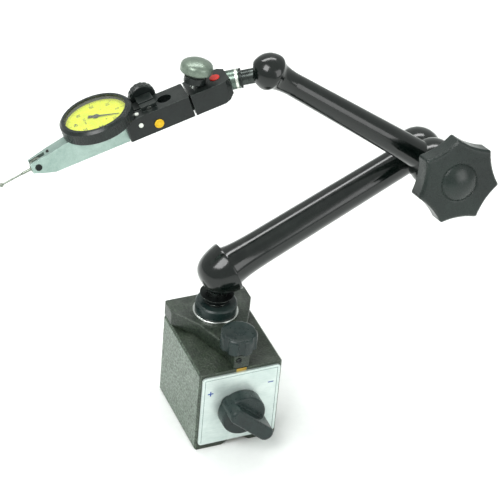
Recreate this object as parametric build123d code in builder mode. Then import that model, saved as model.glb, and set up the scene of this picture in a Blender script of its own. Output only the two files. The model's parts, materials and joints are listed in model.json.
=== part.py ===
"""A dial test indicator on an articulated arm that stands on a switchable magnetic base.

Millimetres. The origin is the centre of the base's foot, the switch faces -Y, +X is to the
right of someone facing the switch and +Z is up. The arm is at rest in its clamped pose.
"""

from build123d import *
import os
from math import cos, radians, sin, sqrt

os.makedirs("parts", exist_ok=True)

# ---------------------------------------------------------------- fits and clearances
running = 0.05  # radial clearance of shafts, slides and ball sockets
fastener = 0.04  # radial clearance round screws, pins and plugs that don't move
apart = 0.3  # clear distance between pieces that move past each other

# ---------------------------------------------------------------- magnetic base
base_width = 50.0
base_depth = 59.0
base_height = 55.0
base_edge = 1.0
spacer_width = 6.0
groove_half_width = 8.5
groove_depth = 6.0
rear_cover_thickness = 1.5
rear_cover_margin = 2.0
cover_screw_radius = 1.5
cover_screw_length = 8.0
cover_screw_inset = 5.5

rotor_height = 27.0
rotor_radius = 16.0
rotor_bore_clearance = 0.5
front_wall = 5.0
magnet_thickness = 12.0
shaft_radius = 5.0
shaft_flange_thickness = 3.0

plate_width = 47.0
plate_bottom = 4.0
plate_top = 53.0
plate_thickness = 1.2
plate_corner = 2.0

switch_disc_radius = 13.0
switch_disc_thickness = 8.0
switch_wing_width = 9.0
switch_wing_rise = 7.5
switch_wing_short = 14.0
switch_wing_long = 20.0
switch_angle = -42.8  # of the wing's long end, from +X, seen from the front
switch_shaft_insertion = 5.5

# ---------------------------------------------------------------- fine adjustment on the base
lever_gap = 0.6
lever_thickness = 8.8
lever_half_width = 24.5
lever_side_y = 18.0
lever_waist_x = 14.0
lever_waist_y = 4.0
nose_half_width = 5.0
nose_root_y = -20.0
lever_corner = 1.5
hinge_y = 23.0
hinge_height = 3.6  # of the pin's axis above the base
hinge_pin_radius = 1.75
hinge_pin_inset = 4.0  # of the pin's ends from the base's sides
hinge_pin_half_length = base_width / 2 - hinge_pin_inset
hinge_block_half_width = 7.5
hinge_block_front = 5.4
hinge_block_rear = 5.2
hinge_block_height = 6.4
hinge_screw_radius = 1.1
hinge_screw_depth = 6.0
hinge_screw_x = 5.2
hinge_screw_dy = 3.2

adjust_y = -22.0
adjust_screw_radius = 3.0
adjust_shoe_radius = 3.6
adjust_shoe_thickness = 1.3
adjust_shoe_stem_radius = 1.4
adjust_shoe_stem = 2.2
adjust_shoe_pocket = 2.4
adjust_knob_radius = 10.5
adjust_knob_height = 9.8
adjust_knob_gap = 1.6
adjust_travel = 0.92  # of the screw through the lever, from rest
adjust_knob_boss_radius = 5.0
adjust_knob_flutes = 7
adjust_flute_radius = 2.6
stop_screw_x = -2.2
stop_screw_radius = 1.6
stop_screw_length = 5.0
stop_screw_below_top = 3.4

# ---------------------------------------------------------------- lower ball joint
stud_y = 12.0
washer_radius = 13.2
washer_thickness = 1.6
collar_radius = 12.0
collar_height = 6.4
collar_edge = 1.0
stud_thread_radius = 4.0
stud_thread_depth = 6.5
stud_flange_radius = 7.3
stud_flange_thickness = 1.2
lower_neck_radius = 6.0
lower_ball_radius = 10.0
lower_ball_rise = 37.0  # of the ball's centre above the base
lower_ball_height = base_height + lower_ball_rise
skirt_height = 3.9
skirt_foot_radius = 7.4
skirt_top_radius = 9.8
lower_tilt_down = 8.0
lower_tilt_up = 25.0

# ---------------------------------------------------------------- arms
elbow_yaw = 2.0  # the elbow's axis, turned about +Z from -Y towards -X
elbow_lean = 15.0  # and raised by this much
lower_arm_angle = 24.2  # in the arms' plane, from the level direction
lower_arm_length = 134.0
upper_arm_angle = 145.6
upper_arm_length = 117.0
arm_spacing = 20.0  # between the two arms' centre lines, along the elbow's axis

lower_bulb_end = 11.2
lower_bulb_radius = 14.8
lower_bulb_crest = 6.5
lower_bulb_length = 27.0
lower_tube_radius = 10.0
lower_tube_elbow_radius = 8.75
lower_seat_radius = 7.5
lower_seat_length = 9.5
lower_rod_radius = 5.0

upper_bulb_end = 11.5
upper_bulb_radius = 10.45
upper_bulb_length = 14.5
upper_tube_radius = 6.5
upper_tube_elbow_radius = 8.3
upper_ball_radius = 7.0
upper_seat_radius = 5.0
upper_seat_length = 7.0
seat_lip = 0.5
upper_rod_radius = 3.5
rod_bore_clearance = 0.2
rod_end_gap = 3.0  # from each rod's end to the elbow's axis

eye_radius = 14.0
eye_front = 10.7  # the upper eye's flat under the star knob, from the eye's centre
friction_washer_thickness = 0.5
friction_washer_radius = 10.0
bolt_radius = 4.0
bolt_hole_clearance = 0.3
wedge_guide_radius = 8.0
wedge_rear = 11.0  # the bolt's rear face, from the lower eye's centre
wedge_sleeve_wall = 0.7
clamp_travel = 0.47  # of each wedge and rod in three quarters of a turn

star_lobes = 7
star_tip_radius = 25.0
star_valley_radius = 21.0
star_tip_round = 1.5
star_thickness = 12.0
star_distance = 29.0  # of the star's middle plane from the upper eye's centre
star_edge = 1.2
star_phase = -12.2
star_neck_radius = 9.0
insert_radius = 6.5
insert_rear = 13.0
insert_front = 30.0
bolt_end = 28.0
cap_radius = 10.5
cap_dome = 3.4
cap_seat = 1.6

# ---------------------------------------------------------------- head: pose
head_pitch = 18.35  # down towards the indicator
head_yaw = 3.02
head_roll = 8.2
stud_to_bore = (58.9, -4.2, 7.7)  # from the upper ball to the stem bore's mouth, along the head
neck_bend = (0.964, -0.2515, 0.0838)  # the upper stud's direction, along the head
upper_tilt_out = 20.0  # of the neck, towards the arm's line
upper_tilt_in = 30.0

# ---------------------------------------------------------------- head: sizes
head_half_width = 8.5
head_depth = 12.5
head_edge = 0.6
block_rear = 36.0
block_front = 12.9
block_end_chamfer = 3.0
block_nose_rise = 2.5
block_nose_length = 6.0
jaw_slot = 0.8
jaw_front = 25.0
stem_bore_radius = 4.0
slit_width = 1.2
dovetail_depth = 2.5
dovetail_mouth = 2.2
dovetail_root = 3.2

pivot_x = -20.0
pivot_z = -9.0
jaw_pin_radius = 1.25
jaw_pin_half_length = 7.0
tongue_half_width = 3.0
tongue_eye_radius = 2.8

fine_angle = 26.0  # the fine screw's lean
fine_knob_x = -22.6
fine_knob_z = 10.9
fine_knob_radius = 8.9
fine_knob_thickness = 8.0
fine_knob_rim = 3.0
fine_boss_radius = 6.0
fine_boss_below = 6.0
fine_screw_radius = 2.0
fine_shoe_radius = 1.6
fine_shoe_thickness = 1.2
fine_shoe_stem_radius = 0.8
fine_shoe_stem = 1.5
fine_contact_x = -14.5
fine_contact_z = -6.0

red_plug_x = -29.3
red_plug_radius = 2.8
plug_depth = 1.5
plug_proud = 0.5
brass_plug_x = 7.7
brass_plug_z = -8.0
brass_plug_radius = 2.6
white_pin_radius = 1.25
white_pin_x = 17.2
white_pin_y = 4.7
white_pin_z = -4.9

clamp_x = 9.6
clamp_z = 0.2
clamp_screw_radius = 1.5
clamp_boss_half_length = 4.3
clamp_boss_height = 2.6
clamp_boss_front = 4.5
clamp_knob_radius = 7.5
clamp_knob_thickness = 5.2
clamp_knob_flutes = 16
clamp_flute_radius = 0.9
clamp_knob_insertion = 4.0

neck_radius = 4.2
ring_radius = 5.5
ring_start = 16.0
ring_thickness = 1.2
sleeve_start = 17.5
sleeve_radius = 5.5
upper_thread_radius = 2.5
upper_thread_end = 32.0

# ---------------------------------------------------------------- lever indicator
dial_x = 37.45
case_radius = 18.2
case_top = 4.0
bezel_radius = 20.0
bezel_bottom = 0.7
bezel_top = 8.3
bezel_lip_radius = 16.9
bezel_seat_radius = 17.85
bezel_lip = 0.65
bezel_flutes = 60
bezel_flute_radius = 0.35
dial_height = 4.9
dial_thickness = 0.5
dial_hole_radius = 1.3
crystal_thickness = 0.7
dial_rim_width = 0.8
hand_height = 5.9
hand_thickness = 0.3
hand_length = 13.5
hand_tail = 4.5
hand_width = 1.1
hand_angle = 150.0
hand_hub_radius = 1.7

body_half_width = 4.0
nose_half_thickness = 3.0
body_depth = 14.0
body_slope_x = 56.0
body_nose_x = 79.6
body_nose_top = -4.6
body_nose_bottom = -10.3
body_chin_x = 68.0
cavity_start = 32.0
cavity_end = 66.0
cavity_half_width = 2.8
cavity_roof = 1.5
cover_thickness = 1.2
fork_half_width = 1.8
fork_root_x = 70.3

stylus_pivot_x = 75.7
gear_line_z = -7.9
pivot_screw_radius = 1.8
pivot_screw_head = 0.5
pivot_tip_radius = 0.6
pivot_tip_depth = 0.8
hub_flange_radius = 3.9
hub_core_radius = 1.6
hub_flange_thickness = 1.1
hub_side_gap = 0.3
tail_half_height = 0.7
drive_pin_radius = 0.4
sector_pivot_x = 52.5
sector_ratio = 4.0
crown_ratio = 9.0
pinion_ratio = 4.8
sector_y = 0.9
sector_thickness = 0.8
sector_half_angle = 9.0
sector_arm_half_height = 1.6
arbor_radius = 0.4
arbor_half_length = 3.3
crown_radius = 4.0
crown_face_y = -0.85
crown_thickness = 1.3
spindle_radius = 0.5
pinion_radius = 0.75
pinion_half_length = 0.7
mesh_gap = 0.1

stylus_hub_radius = 4.4
stylus_droop = 7.03
stylus_length = 22.0
stylus_ball_radius = 1.2
stylus_rod_radius = 0.75
stylus_tip_rod_radius = 0.5
stylus_step = 9.0
top_screw_x = 67.6
top_screw_radius = 1.5
top_screw_length = 2.6


# ================================================================ frames and helpers
def along(base, x, y, z):
    """A direction given by its parts along a plane's own x, y and z."""
    return base.x_dir * x + base.y_dir * y + base.z_dir * z


def placed(base, origin, x_dir=(1, 0, 0), z_dir=(0, 0, 1)):
    """A plane given by its origin and directions in the frame of another plane."""
    return Plane(
        origin=base.origin + along(base, *origin),
        x_dir=along(base, *x_dir),
        z_dir=along(base, *z_dir),
    )


def lengthwise(point, direction, side):
    """A plane with its x along a direction and its y towards a side that is square to it."""
    return Plane(origin=point, x_dir=direction, z_dir=direction.cross(side))


def chord(radius, height):
    """How far from a circle's centre it reaches a given height."""
    return sqrt(radius**2 - height**2)


def axis_of(plane):
    """The line through a plane's origin along its x."""
    return Axis(plane.origin, plane.x_dir)


def write(part, name):
    part.label = name
    export_step(part, f"parts/{name}.step")


front_y = -base_depth / 2
rear_y = base_depth / 2
pole_rear_y = rear_y - rear_cover_thickness
plate_front_y = front_y - plate_thickness

# the arms: the elbow's axis points to the front, at the star knob
elbow_axis = Vector(
    -sin(radians(elbow_yaw)) * cos(radians(elbow_lean)),
    -cos(radians(elbow_yaw)) * cos(radians(elbow_lean)),
    sin(radians(elbow_lean)),
)
level = Vector(cos(radians(elbow_yaw)), -sin(radians(elbow_yaw)), 0)
arm_plane = Plane(origin=(0, 0, 0), x_dir=level, z_dir=elbow_axis)


def arm_direction(angle):
    return along(arm_plane, cos(radians(angle)), sin(radians(angle)), 0)


lower_ball = Vector(0, stud_y, lower_ball_height)
lower_direction = arm_direction(lower_arm_angle)
lower_eye = lower_ball + lower_direction * lower_arm_length
upper_eye = lower_eye + elbow_axis * arm_spacing
upper_direction = arm_direction(upper_arm_angle)
upper_ball = upper_eye + upper_direction * upper_arm_length

# each arm's plane runs from its ball to the elbow
lower_arm_frame = lengthwise(lower_ball, lower_direction, elbow_axis)
upper_arm_frame = lengthwise(upper_ball, upper_direction * -1, elbow_axis)
lower_eye_frame = Plane(origin=lower_eye, x_dir=lower_direction, z_dir=elbow_axis)
upper_eye_frame = Plane(origin=upper_eye, x_dir=upper_direction, z_dir=elbow_axis)

# the head: x towards the indicator, y to its front side, z up through the stem bore
head_x = Vector(
    -cos(radians(head_pitch)) * cos(radians(head_yaw)),
    cos(radians(head_pitch)) * sin(radians(head_yaw)),
    -sin(radians(head_pitch)),
)
upright = Vector(0, 0, 1) - head_x * head_x.Z
upright = upright.normalized()
sideways = upright.cross(head_x)
head_z = upright * cos(radians(head_roll)) - sideways * sin(radians(head_roll))
head_turn = Plane(origin=upper_ball, x_dir=head_x, z_dir=head_z)
head = placed(head_turn, stud_to_bore)
neck_axis = along(head, *neck_bend).normalized()

# the tilt axis of the upper joint: the elbow's axis, made square to the neck
upper_tilt_axis = (elbow_axis - neck_axis * elbow_axis.dot(neck_axis)).normalized()
lower_tilt_axis = Vector(-sin(radians(elbow_yaw)), -cos(radians(elbow_yaw)), 0)
neck_frame = Plane(origin=upper_ball, x_dir=upper_tilt_axis, z_dir=neck_axis)


# ================================================================ magnetic base
pole_width = (base_width - spacer_width) / 2
pole_depth = pole_rear_y - front_y
rotor_front_y = front_y + front_wall
bore_radius = rotor_radius + rotor_bore_clearance

for side, name in ((-1, "left_pole"), (1, "right_pole")):
    with BuildPart() as pole:
        with BuildSketch(Plane.XY):
            with Locations((side * (spacer_width + pole_width) / 2, front_y + pole_depth / 2)):
                Rectangle(pole_width, pole_depth)
        extrude(amount=base_height)
        outer_face = pole.faces().sort_by(Axis.X)[0 if side < 0 else -1]
        chamfer(outer_face.edges(), length=base_edge)
        with BuildSketch(Plane.XZ.offset(-rear_y)):
            with BuildLine():
                Polyline(
                    (-groove_half_width, 0), (groove_half_width, 0), (0, groove_depth), close=True
                )
            make_face()
        extrude(amount=base_depth + 1, mode=Mode.SUBTRACT)
        with BuildSketch(Plane.XZ.offset(-rear_y)):
            with Locations((0, rotor_height)):
                Circle(bore_radius)
        extrude(amount=rear_y - rotor_front_y, mode=Mode.SUBTRACT)
        with BuildSketch(Plane.XZ.offset(-rear_y)):
            with Locations((0, rotor_height)):
                Circle(shaft_radius + running)
        extrude(amount=base_depth + 1, mode=Mode.SUBTRACT)
        with BuildSketch(Plane.XZ.offset(-pole_rear_y)):
            for z in (cover_screw_inset, base_height - cover_screw_inset):
                with Locations((side * (base_width / 2 - cover_screw_inset), z)):
                    Circle(cover_screw_radius + fastener)
        extrude(amount=cover_screw_length, mode=Mode.SUBTRACT)
        with BuildSketch(Plane.XY.offset(base_height)):
            with Locations(
                (side * hinge_screw_x, hinge_y - hinge_screw_dy),
                (side * hinge_screw_x, hinge_y + hinge_screw_dy),
            ):
                Circle(hinge_screw_radius + fastener)
        extrude(amount=-hinge_screw_depth, mode=Mode.SUBTRACT)
    write(pole.part, name)

with BuildPart() as pole_spacer:
    with BuildSketch(Plane.XY):
        with Locations((0, front_y + pole_depth / 2)):
            Rectangle(spacer_width, pole_depth)
    extrude(amount=base_height)
    with BuildSketch(Plane.XZ.offset(-rear_y)):
        with BuildLine():
            Polyline((-groove_half_width, 0), (groove_half_width, 0), (0, groove_depth), close=True)
        make_face()
    extrude(amount=base_depth + 1, mode=Mode.SUBTRACT)
    with BuildSketch(Plane.XZ.offset(-rear_y)):
        with Locations((0, rotor_height)):
            Circle(bore_radius)
    extrude(amount=rear_y - rotor_front_y, mode=Mode.SUBTRACT)
    with BuildSketch(Plane.XZ.offset(-rear_y)):
        with Locations((0, rotor_height)):
            Circle(shaft_radius + running)
    extrude(amount=base_depth + 1, mode=Mode.SUBTRACT)
write(pole_spacer.part, "pole_spacer")

cover_width = base_width - 2 * rear_cover_margin
cover_height = base_height - 2 * rear_cover_margin
with BuildPart() as rear_cover:
    with BuildSketch(Plane.XZ.offset(-rear_y)):
        with Locations((0, base_height / 2)):
            RectangleRounded(cover_width, cover_height, plate_corner)
            with GridLocations(
                base_width - 2 * cover_screw_inset, base_height - 2 * cover_screw_inset, 2, 2
            ):
                Circle(cover_screw_radius + fastener, mode=Mode.SUBTRACT)
    extrude(amount=rear_cover_thickness)
write(rear_cover.part, "rear_cover")

with BuildPart() as front_plate:
    with BuildSketch(Plane.XZ.offset(-front_y)):
        with Locations((0, (plate_bottom + plate_top) / 2)):
            RectangleRounded(plate_width, plate_top - plate_bottom, plate_corner)
        with Locations((0, rotor_height)):
            Circle(shaft_radius + apart, mode=Mode.SUBTRACT)
    extrude(amount=plate_thickness)
write(front_plate.part, "front_plate")

# ---------------------------------------------------------------- turning magnet and its knob
# its frame looks out of the front, with x along the knob's long wing
switch_frame = Plane(
    origin=(0, 0, rotor_height),
    x_dir=(cos(radians(switch_angle)), 0, sin(radians(switch_angle))),
    z_dir=(0, -1, 0),
)
flange_front = -rotor_front_y - apart
magnet_front = flange_front - shaft_flange_thickness
magnet_rear = -pole_rear_y + apart
knob_rear = -plate_front_y + apart

with BuildPart() as rotary_magnet:
    with BuildSketch(switch_frame.offset(magnet_rear)):
        Circle(rotor_radius)
        Rectangle(magnet_thickness, 2 * rotor_radius, mode=Mode.INTERSECT)
    extrude(amount=magnet_front - magnet_rear)
write(rotary_magnet.part, "rotary_magnet")

with BuildPart() as rotor_segments:
    with BuildSketch(switch_frame.offset(magnet_rear)):
        Circle(rotor_radius)
        Rectangle(magnet_thickness, 2 * rotor_radius, mode=Mode.SUBTRACT)
    extrude(amount=magnet_front - magnet_rear)
write(rotor_segments.part, "rotor_segments")

with BuildPart() as switch_shaft:
    with BuildSketch(switch_frame.offset(magnet_front)):
        Circle(rotor_radius)
    extrude(amount=shaft_flange_thickness)
    with BuildSketch(switch_frame.offset(flange_front)):
        Circle(shaft_radius)
    extrude(amount=knob_rear + switch_shaft_insertion - flange_front)
write(switch_shaft.part, "switch_shaft")

with BuildPart() as switch_knob:
    with BuildSketch(switch_frame.offset(knob_rear)):
        Circle(switch_disc_radius)
    extrude(amount=switch_disc_thickness)
    fillet(switch_knob.faces().sort_by(Axis.Y)[0].edges(), radius=1.2)
    with BuildSketch(switch_frame.offset(knob_rear)):
        with Locations(((switch_wing_long - switch_wing_short) / 2, 0)):
            SlotOverall(switch_wing_long + switch_wing_short, switch_wing_width)
    extrude(amount=switch_disc_thickness + switch_wing_rise)
    fillet(switch_knob.faces().sort_by(Axis.Y)[0].edges(), radius=1.5)
    with BuildSketch(switch_frame.offset(knob_rear)):
        Circle(shaft_radius + fastener)
    extrude(amount=switch_shaft_insertion, mode=Mode.SUBTRACT)
write(switch_knob.part, "switch_knob")

# ================================================================ fine adjustment on the base
lever_bottom = base_height + lever_gap
lever_top = lever_bottom + lever_thickness
hinge_z = base_height + hinge_height
block_top = base_height + hinge_block_height

with BuildPart() as hinge_block:
    with BuildSketch(Plane.XY.offset(base_height)):
        with Locations((0, hinge_y + (hinge_block_rear - hinge_block_front) / 2)):
            Rectangle(2 * hinge_block_half_width, hinge_block_front + hinge_block_rear)
        with Locations((0, hinge_y)):
            with GridLocations(2 * hinge_screw_x, 2 * hinge_screw_dy, 2, 2):
                Circle(hinge_screw_radius + fastener, mode=Mode.SUBTRACT)
    extrude(amount=hinge_block_height)
    with BuildSketch(Plane.YZ.offset(-hinge_block_half_width)):
        with Locations((hinge_y, hinge_z)):
            Circle(hinge_pin_radius + running)
    extrude(amount=2 * hinge_block_half_width, mode=Mode.SUBTRACT)
write(hinge_block.part, "hinge_block")

with BuildPart() as base_screws:
    with BuildSketch(Plane.XZ.offset(-rear_y)):
        with Locations((0, base_height / 2)):
            with GridLocations(
                base_width - 2 * cover_screw_inset, base_height - 2 * cover_screw_inset, 2, 2
            ):
                Circle(cover_screw_radius)
    extrude(amount=cover_screw_length)
    with BuildSketch(Plane.XY.offset(base_height - hinge_screw_depth)):
        with Locations((0, hinge_y)):
            with GridLocations(2 * hinge_screw_x, 2 * hinge_screw_dy, 2, 2):
                Circle(hinge_screw_radius)
    extrude(amount=hinge_screw_depth + hinge_block_height)
write(base_screws.part, "base_screws")

with BuildPart() as hinge_pin:
    with BuildSketch(Plane.YZ.offset(-hinge_pin_half_length)):
        with Locations((hinge_y, hinge_z)):
            Circle(hinge_pin_radius)
    extrude(amount=2 * hinge_pin_half_length)
write(hinge_pin.part, "hinge_pin")

shoe_bottom = base_height + apart
shoe_top = shoe_bottom + adjust_shoe_thickness
screw_bottom = shoe_top + running
adjust_knob_bottom = lever_top + adjust_knob_gap

with BuildPart() as adjust_lever:
    with BuildSketch(Plane.XY.offset(lever_bottom)) as outline:
        with BuildLine():
            Polyline(
                (-lever_half_width, rear_y),
                (-lever_half_width, lever_side_y),
                (-lever_waist_x, lever_waist_y),
                (-nose_half_width, nose_root_y),
                (-nose_half_width, front_y),
                (nose_half_width, front_y),
                (nose_half_width, nose_root_y),
                (lever_half_width, lever_side_y),
                (lever_half_width, rear_y),
                close=True,
            )
        make_face()
        fillet(outline.vertices(), radius=lever_corner)
    extrude(amount=lever_thickness)
    chamfer(adjust_lever.faces().sort_by(Axis.Z)[-1].edges(), length=0.4)
    with BuildSketch(Plane.XY.offset(lever_bottom)):
        with Locations((0, (hinge_y - hinge_block_front - apart + rear_y) / 2)):
            Rectangle(
                2 * (hinge_block_half_width + apart), rear_y - hinge_y + hinge_block_front + apart
            )
    extrude(amount=block_top + apart - lever_bottom, mode=Mode.SUBTRACT)
    with BuildSketch(Plane.YZ.offset(-hinge_pin_half_length)):
        with Locations((hinge_y, hinge_z)):
            Circle(hinge_pin_radius + fastener)
    extrude(amount=2 * hinge_pin_half_length, mode=Mode.SUBTRACT)
    with BuildSketch(Plane.XY.offset(lever_top)):
        with Locations((0, stud_y)):
            Circle(stud_thread_radius + fastener)
    extrude(amount=-stud_thread_depth, mode=Mode.SUBTRACT)
    with BuildSketch(Plane.XY.offset(lever_bottom)):
        with Locations((0, adjust_y)):
            Circle(adjust_screw_radius + running)
    extrude(amount=lever_thickness, mode=Mode.SUBTRACT)
    with BuildSketch(Plane.XY.offset(lever_bottom)):
        with Locations((0, adjust_y)):
            Circle(adjust_shoe_radius + apart)
    extrude(amount=adjust_shoe_pocket, mode=Mode.SUBTRACT)
    with BuildSketch(Plane.XZ.offset(-front_y)):
        with Locations((stop_screw_x, lever_top - stop_screw_below_top)):
            Circle(stop_screw_radius + fastener)
    extrude(amount=-(stop_screw_length - plug_proud), mode=Mode.SUBTRACT)
write(adjust_lever.part, "adjust_lever")

with BuildPart() as stop_screw:
    with BuildSketch(Plane.XZ.offset(-front_y + plug_proud)):
        with Locations((stop_screw_x, lever_top - stop_screw_below_top)):
            Circle(stop_screw_radius)
    extrude(amount=-stop_screw_length)
    with BuildSketch(Plane.XZ.offset(-front_y + plug_proud)):
        with Locations((stop_screw_x, lever_top - stop_screw_below_top)):
            Rectangle(2 * stop_screw_radius, stop_screw_radius / 3)
    extrude(amount=-stop_screw_radius / 2, mode=Mode.SUBTRACT)
write(stop_screw.part, "stop_screw")

with BuildPart() as base_shoe:
    with BuildSketch(Plane.XY.offset(shoe_bottom)):
        with Locations((0, adjust_y)):
            Circle(adjust_shoe_radius)
    extrude(amount=adjust_shoe_thickness)
    chamfer(base_shoe.faces().sort_by(Axis.Z)[0].edges(), length=0.3)
    with BuildSketch(Plane.XY.offset(shoe_top)):
        with Locations((0, adjust_y)):
            Circle(adjust_shoe_stem_radius)
    extrude(amount=adjust_shoe_stem)
write(base_shoe.part, "base_shoe")

with BuildPart() as base_adjust_screw:
    with BuildSketch(Plane.XY.offset(screw_bottom)):
        with Locations((0, adjust_y)):
            Circle(adjust_screw_radius)
    extrude(amount=adjust_knob_bottom + adjust_knob_height / 2 - screw_bottom)
    with BuildSketch(Plane.XY.offset(screw_bottom)):
        with Locations((0, adjust_y)):
            Circle(adjust_shoe_stem_radius + running)
    extrude(amount=adjust_shoe_stem + running, mode=Mode.SUBTRACT)
write(base_adjust_screw.part, "base_adjust_screw")

with BuildPart() as base_adjust_knob:
    with BuildSketch(Plane.XY.offset(adjust_knob_bottom)):
        with Locations((0, adjust_y)):
            Circle(adjust_knob_radius)
    extrude(amount=adjust_knob_height)
    fillet(base_adjust_knob.faces().sort_by(Axis.Z)[-1].edges(), radius=2.2)
    with BuildSketch(Plane.XY.offset(adjust_knob_bottom)):
        with Locations((0, adjust_y)):
            with PolarLocations(adjust_knob_radius + adjust_flute_radius / 2, adjust_knob_flutes):
                Circle(adjust_flute_radius)
    extrude(amount=adjust_knob_height, mode=Mode.SUBTRACT)
    with BuildSketch(Plane.XY.offset(adjust_knob_bottom)):
        with Locations((0, adjust_y)):
            Circle(adjust_knob_boss_radius)
    extrude(amount=-(adjust_knob_gap - adjust_travel - apart))
    with BuildSketch(Plane.XY.offset(lever_top)):
        with Locations((0, adjust_y)):
            Circle(adjust_screw_radius + fastener)
    extrude(amount=adjust_knob_gap + adjust_knob_height / 2, mode=Mode.SUBTRACT)
write(base_adjust_knob.part, "base_adjust_knob")

# ================================================================ lower ball joint
washer_top = lever_top + washer_thickness
collar_top = washer_top + collar_height
flange_top = collar_top + stud_flange_thickness
skirt_bottom = flange_top + apart
skirt_top = skirt_bottom + skirt_height
stud_axis = Axis((0, stud_y, 0), (0, 0, 1))
stud_side = Plane(origin=(0, stud_y, 0), x_dir=(1, 0, 0), z_dir=(0, -1, 0))

with BuildPart() as stud_washer:
    with BuildSketch(Plane.XY.offset(lever_top)):
        with Locations((0, stud_y)):
            Circle(washer_radius)
            Circle(stud_thread_radius + fastener, mode=Mode.SUBTRACT)
    extrude(amount=washer_thickness)
    fillet(stud_washer.edges().filter_by(GeomType.CIRCLE).group_by(Axis.Z)[-1].sort_by(
        SortBy.RADIUS)[-1], radius=0.7)
write(stud_washer.part, "stud_washer")

with BuildPart() as stud_collar:
    with BuildSketch(stud_side):
        with BuildLine():
            Polyline(
                (stud_thread_radius + fastener, washer_top),
                (collar_radius, washer_top),
                (collar_radius, collar_top - collar_edge),
                (collar_radius - collar_edge, collar_top),
                (stud_thread_radius + fastener, collar_top),
                close=True,
            )
        make_face()
    revolve(axis=stud_axis)
write(stud_collar.part, "stud_collar")

with BuildPart() as base_ball_stud:
    with BuildSketch(stud_side):
        with BuildLine():
            ball_foot = lower_ball_height - chord(lower_ball_radius, lower_neck_radius)
            shank = Polyline(
                (0, lower_ball_height + lower_ball_radius),
                (0, lever_top - stud_thread_depth),
                (stud_thread_radius, lever_top - stud_thread_depth),
                (stud_thread_radius, collar_top),
                (stud_flange_radius, collar_top),
                (stud_flange_radius, flange_top),
                (lower_neck_radius, flange_top),
                (lower_neck_radius, ball_foot),
            )
            ThreePointArc(shank @ 1, (lower_ball_radius, lower_ball_height), shank @ 0)
        make_face()
    revolve(axis=stud_axis)
write(base_ball_stud.part, "base_ball_stud")

with BuildPart() as lower_swivel_ring:
    with BuildSketch(stud_side):
        with BuildLine():
            Polyline(
                (lower_neck_radius + running, skirt_bottom),
                (skirt_foot_radius, skirt_bottom),
                (skirt_top_radius, skirt_top),
                (lower_neck_radius + running, skirt_top),
                close=True,
            )
        make_face()
    revolve(axis=stud_axis)
write(lower_swivel_ring.part, "lower_swivel_ring")

# ================================================================ arms
eye_flat = (arm_spacing - friction_washer_thickness - 2 * running) / 2
shank_hole = bolt_radius + bolt_hole_clearance
lower_wedge_start = -(lower_rod_radius + clamp_travel)
upper_wedge_start = upper_rod_radius + clamp_travel
sleeve_tip_radius = shank_hole + wedge_sleeve_wall
lower_seat_front = sqrt((lower_ball_radius + running) ** 2 - (lower_seat_radius - seat_lip) ** 2)
upper_seat_front = sqrt((upper_ball_radius + running) ** 2 - (upper_seat_radius - seat_lip) ** 2)


def neck_slot(ball, tilt_axis, neck, radius, reach, low, high):
    """The space that a stud's neck sweeps as its socket tilts: a sector with two round ends."""
    turning = Axis((0, 0, 0), tilt_axis)
    start = neck.rotate(turning, low)
    with BuildPart() as swept:
        with BuildSketch(Plane(origin=ball, x_dir=tilt_axis, z_dir=tilt_axis.cross(start))):
            with Locations((0, reach / 2)):
                Rectangle(2 * radius, reach)
        revolve(axis=Axis(ball, tilt_axis), revolution_arc=high - low)
        for turn in (low, high):
            direction = neck.rotate(turning, turn)
            with BuildSketch(Plane(origin=ball, x_dir=tilt_axis, z_dir=direction)):
                Circle(radius)
            extrude(amount=reach)
    return swept.part


def socket_bore(cavity, seat_front, seat_length, seat_radius, rod_radius, length):
    """The outline of an arm's inside: the ball's cavity, the seat's bore and the rod's bore."""
    seat_bore = seat_radius + running
    rod_bore = rod_radius + rod_bore_clearance
    seat_back = seat_front + seat_length + 2 * clamp_travel
    with BuildLine() as outline:
        ThreePointArc((-cavity, 0), (0, cavity), (chord(cavity, seat_bore), seat_bore))
        Polyline(
            (chord(cavity, seat_bore), seat_bore),
            (seat_back, seat_bore),
            (seat_back, rod_bore),
            (length, rod_bore),
            (length, 0),
            (-cavity, 0),
        )
    return outline.line


def ball_seat(cavity, seat_front, seat_length, seat_radius):
    """The outline of a seat, hollowed to fit its ball."""
    lip = seat_radius - seat_lip
    half_way = cavity / sqrt(2) if lip > cavity / sqrt(2) else lip / 2
    with BuildLine() as outline:
        ThreePointArc((seat_front, lip), (chord(cavity, half_way), half_way), (cavity, 0))
        Polyline(
            (cavity, 0),
            (seat_front + seat_length, 0),
            (seat_front + seat_length, seat_radius),
            (seat_front, seat_radius),
            (seat_front, lip),
        )
    return outline.line


lower_cavity = lower_ball_radius + running
upper_cavity = upper_ball_radius + running
lower_neck_slot = neck_slot(
    lower_ball,
    lower_tilt_axis,
    Vector(0, 0, -1),
    lower_neck_radius + apart,
    2 * lower_bulb_radius,
    -lower_tilt_up,
    lower_tilt_down,
)
upper_neck_slot = neck_slot(
    upper_ball,
    upper_tilt_axis,
    neck_axis,
    neck_radius + apart,
    2 * upper_bulb_radius,
    -upper_tilt_out,
    upper_tilt_in,
)

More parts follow.
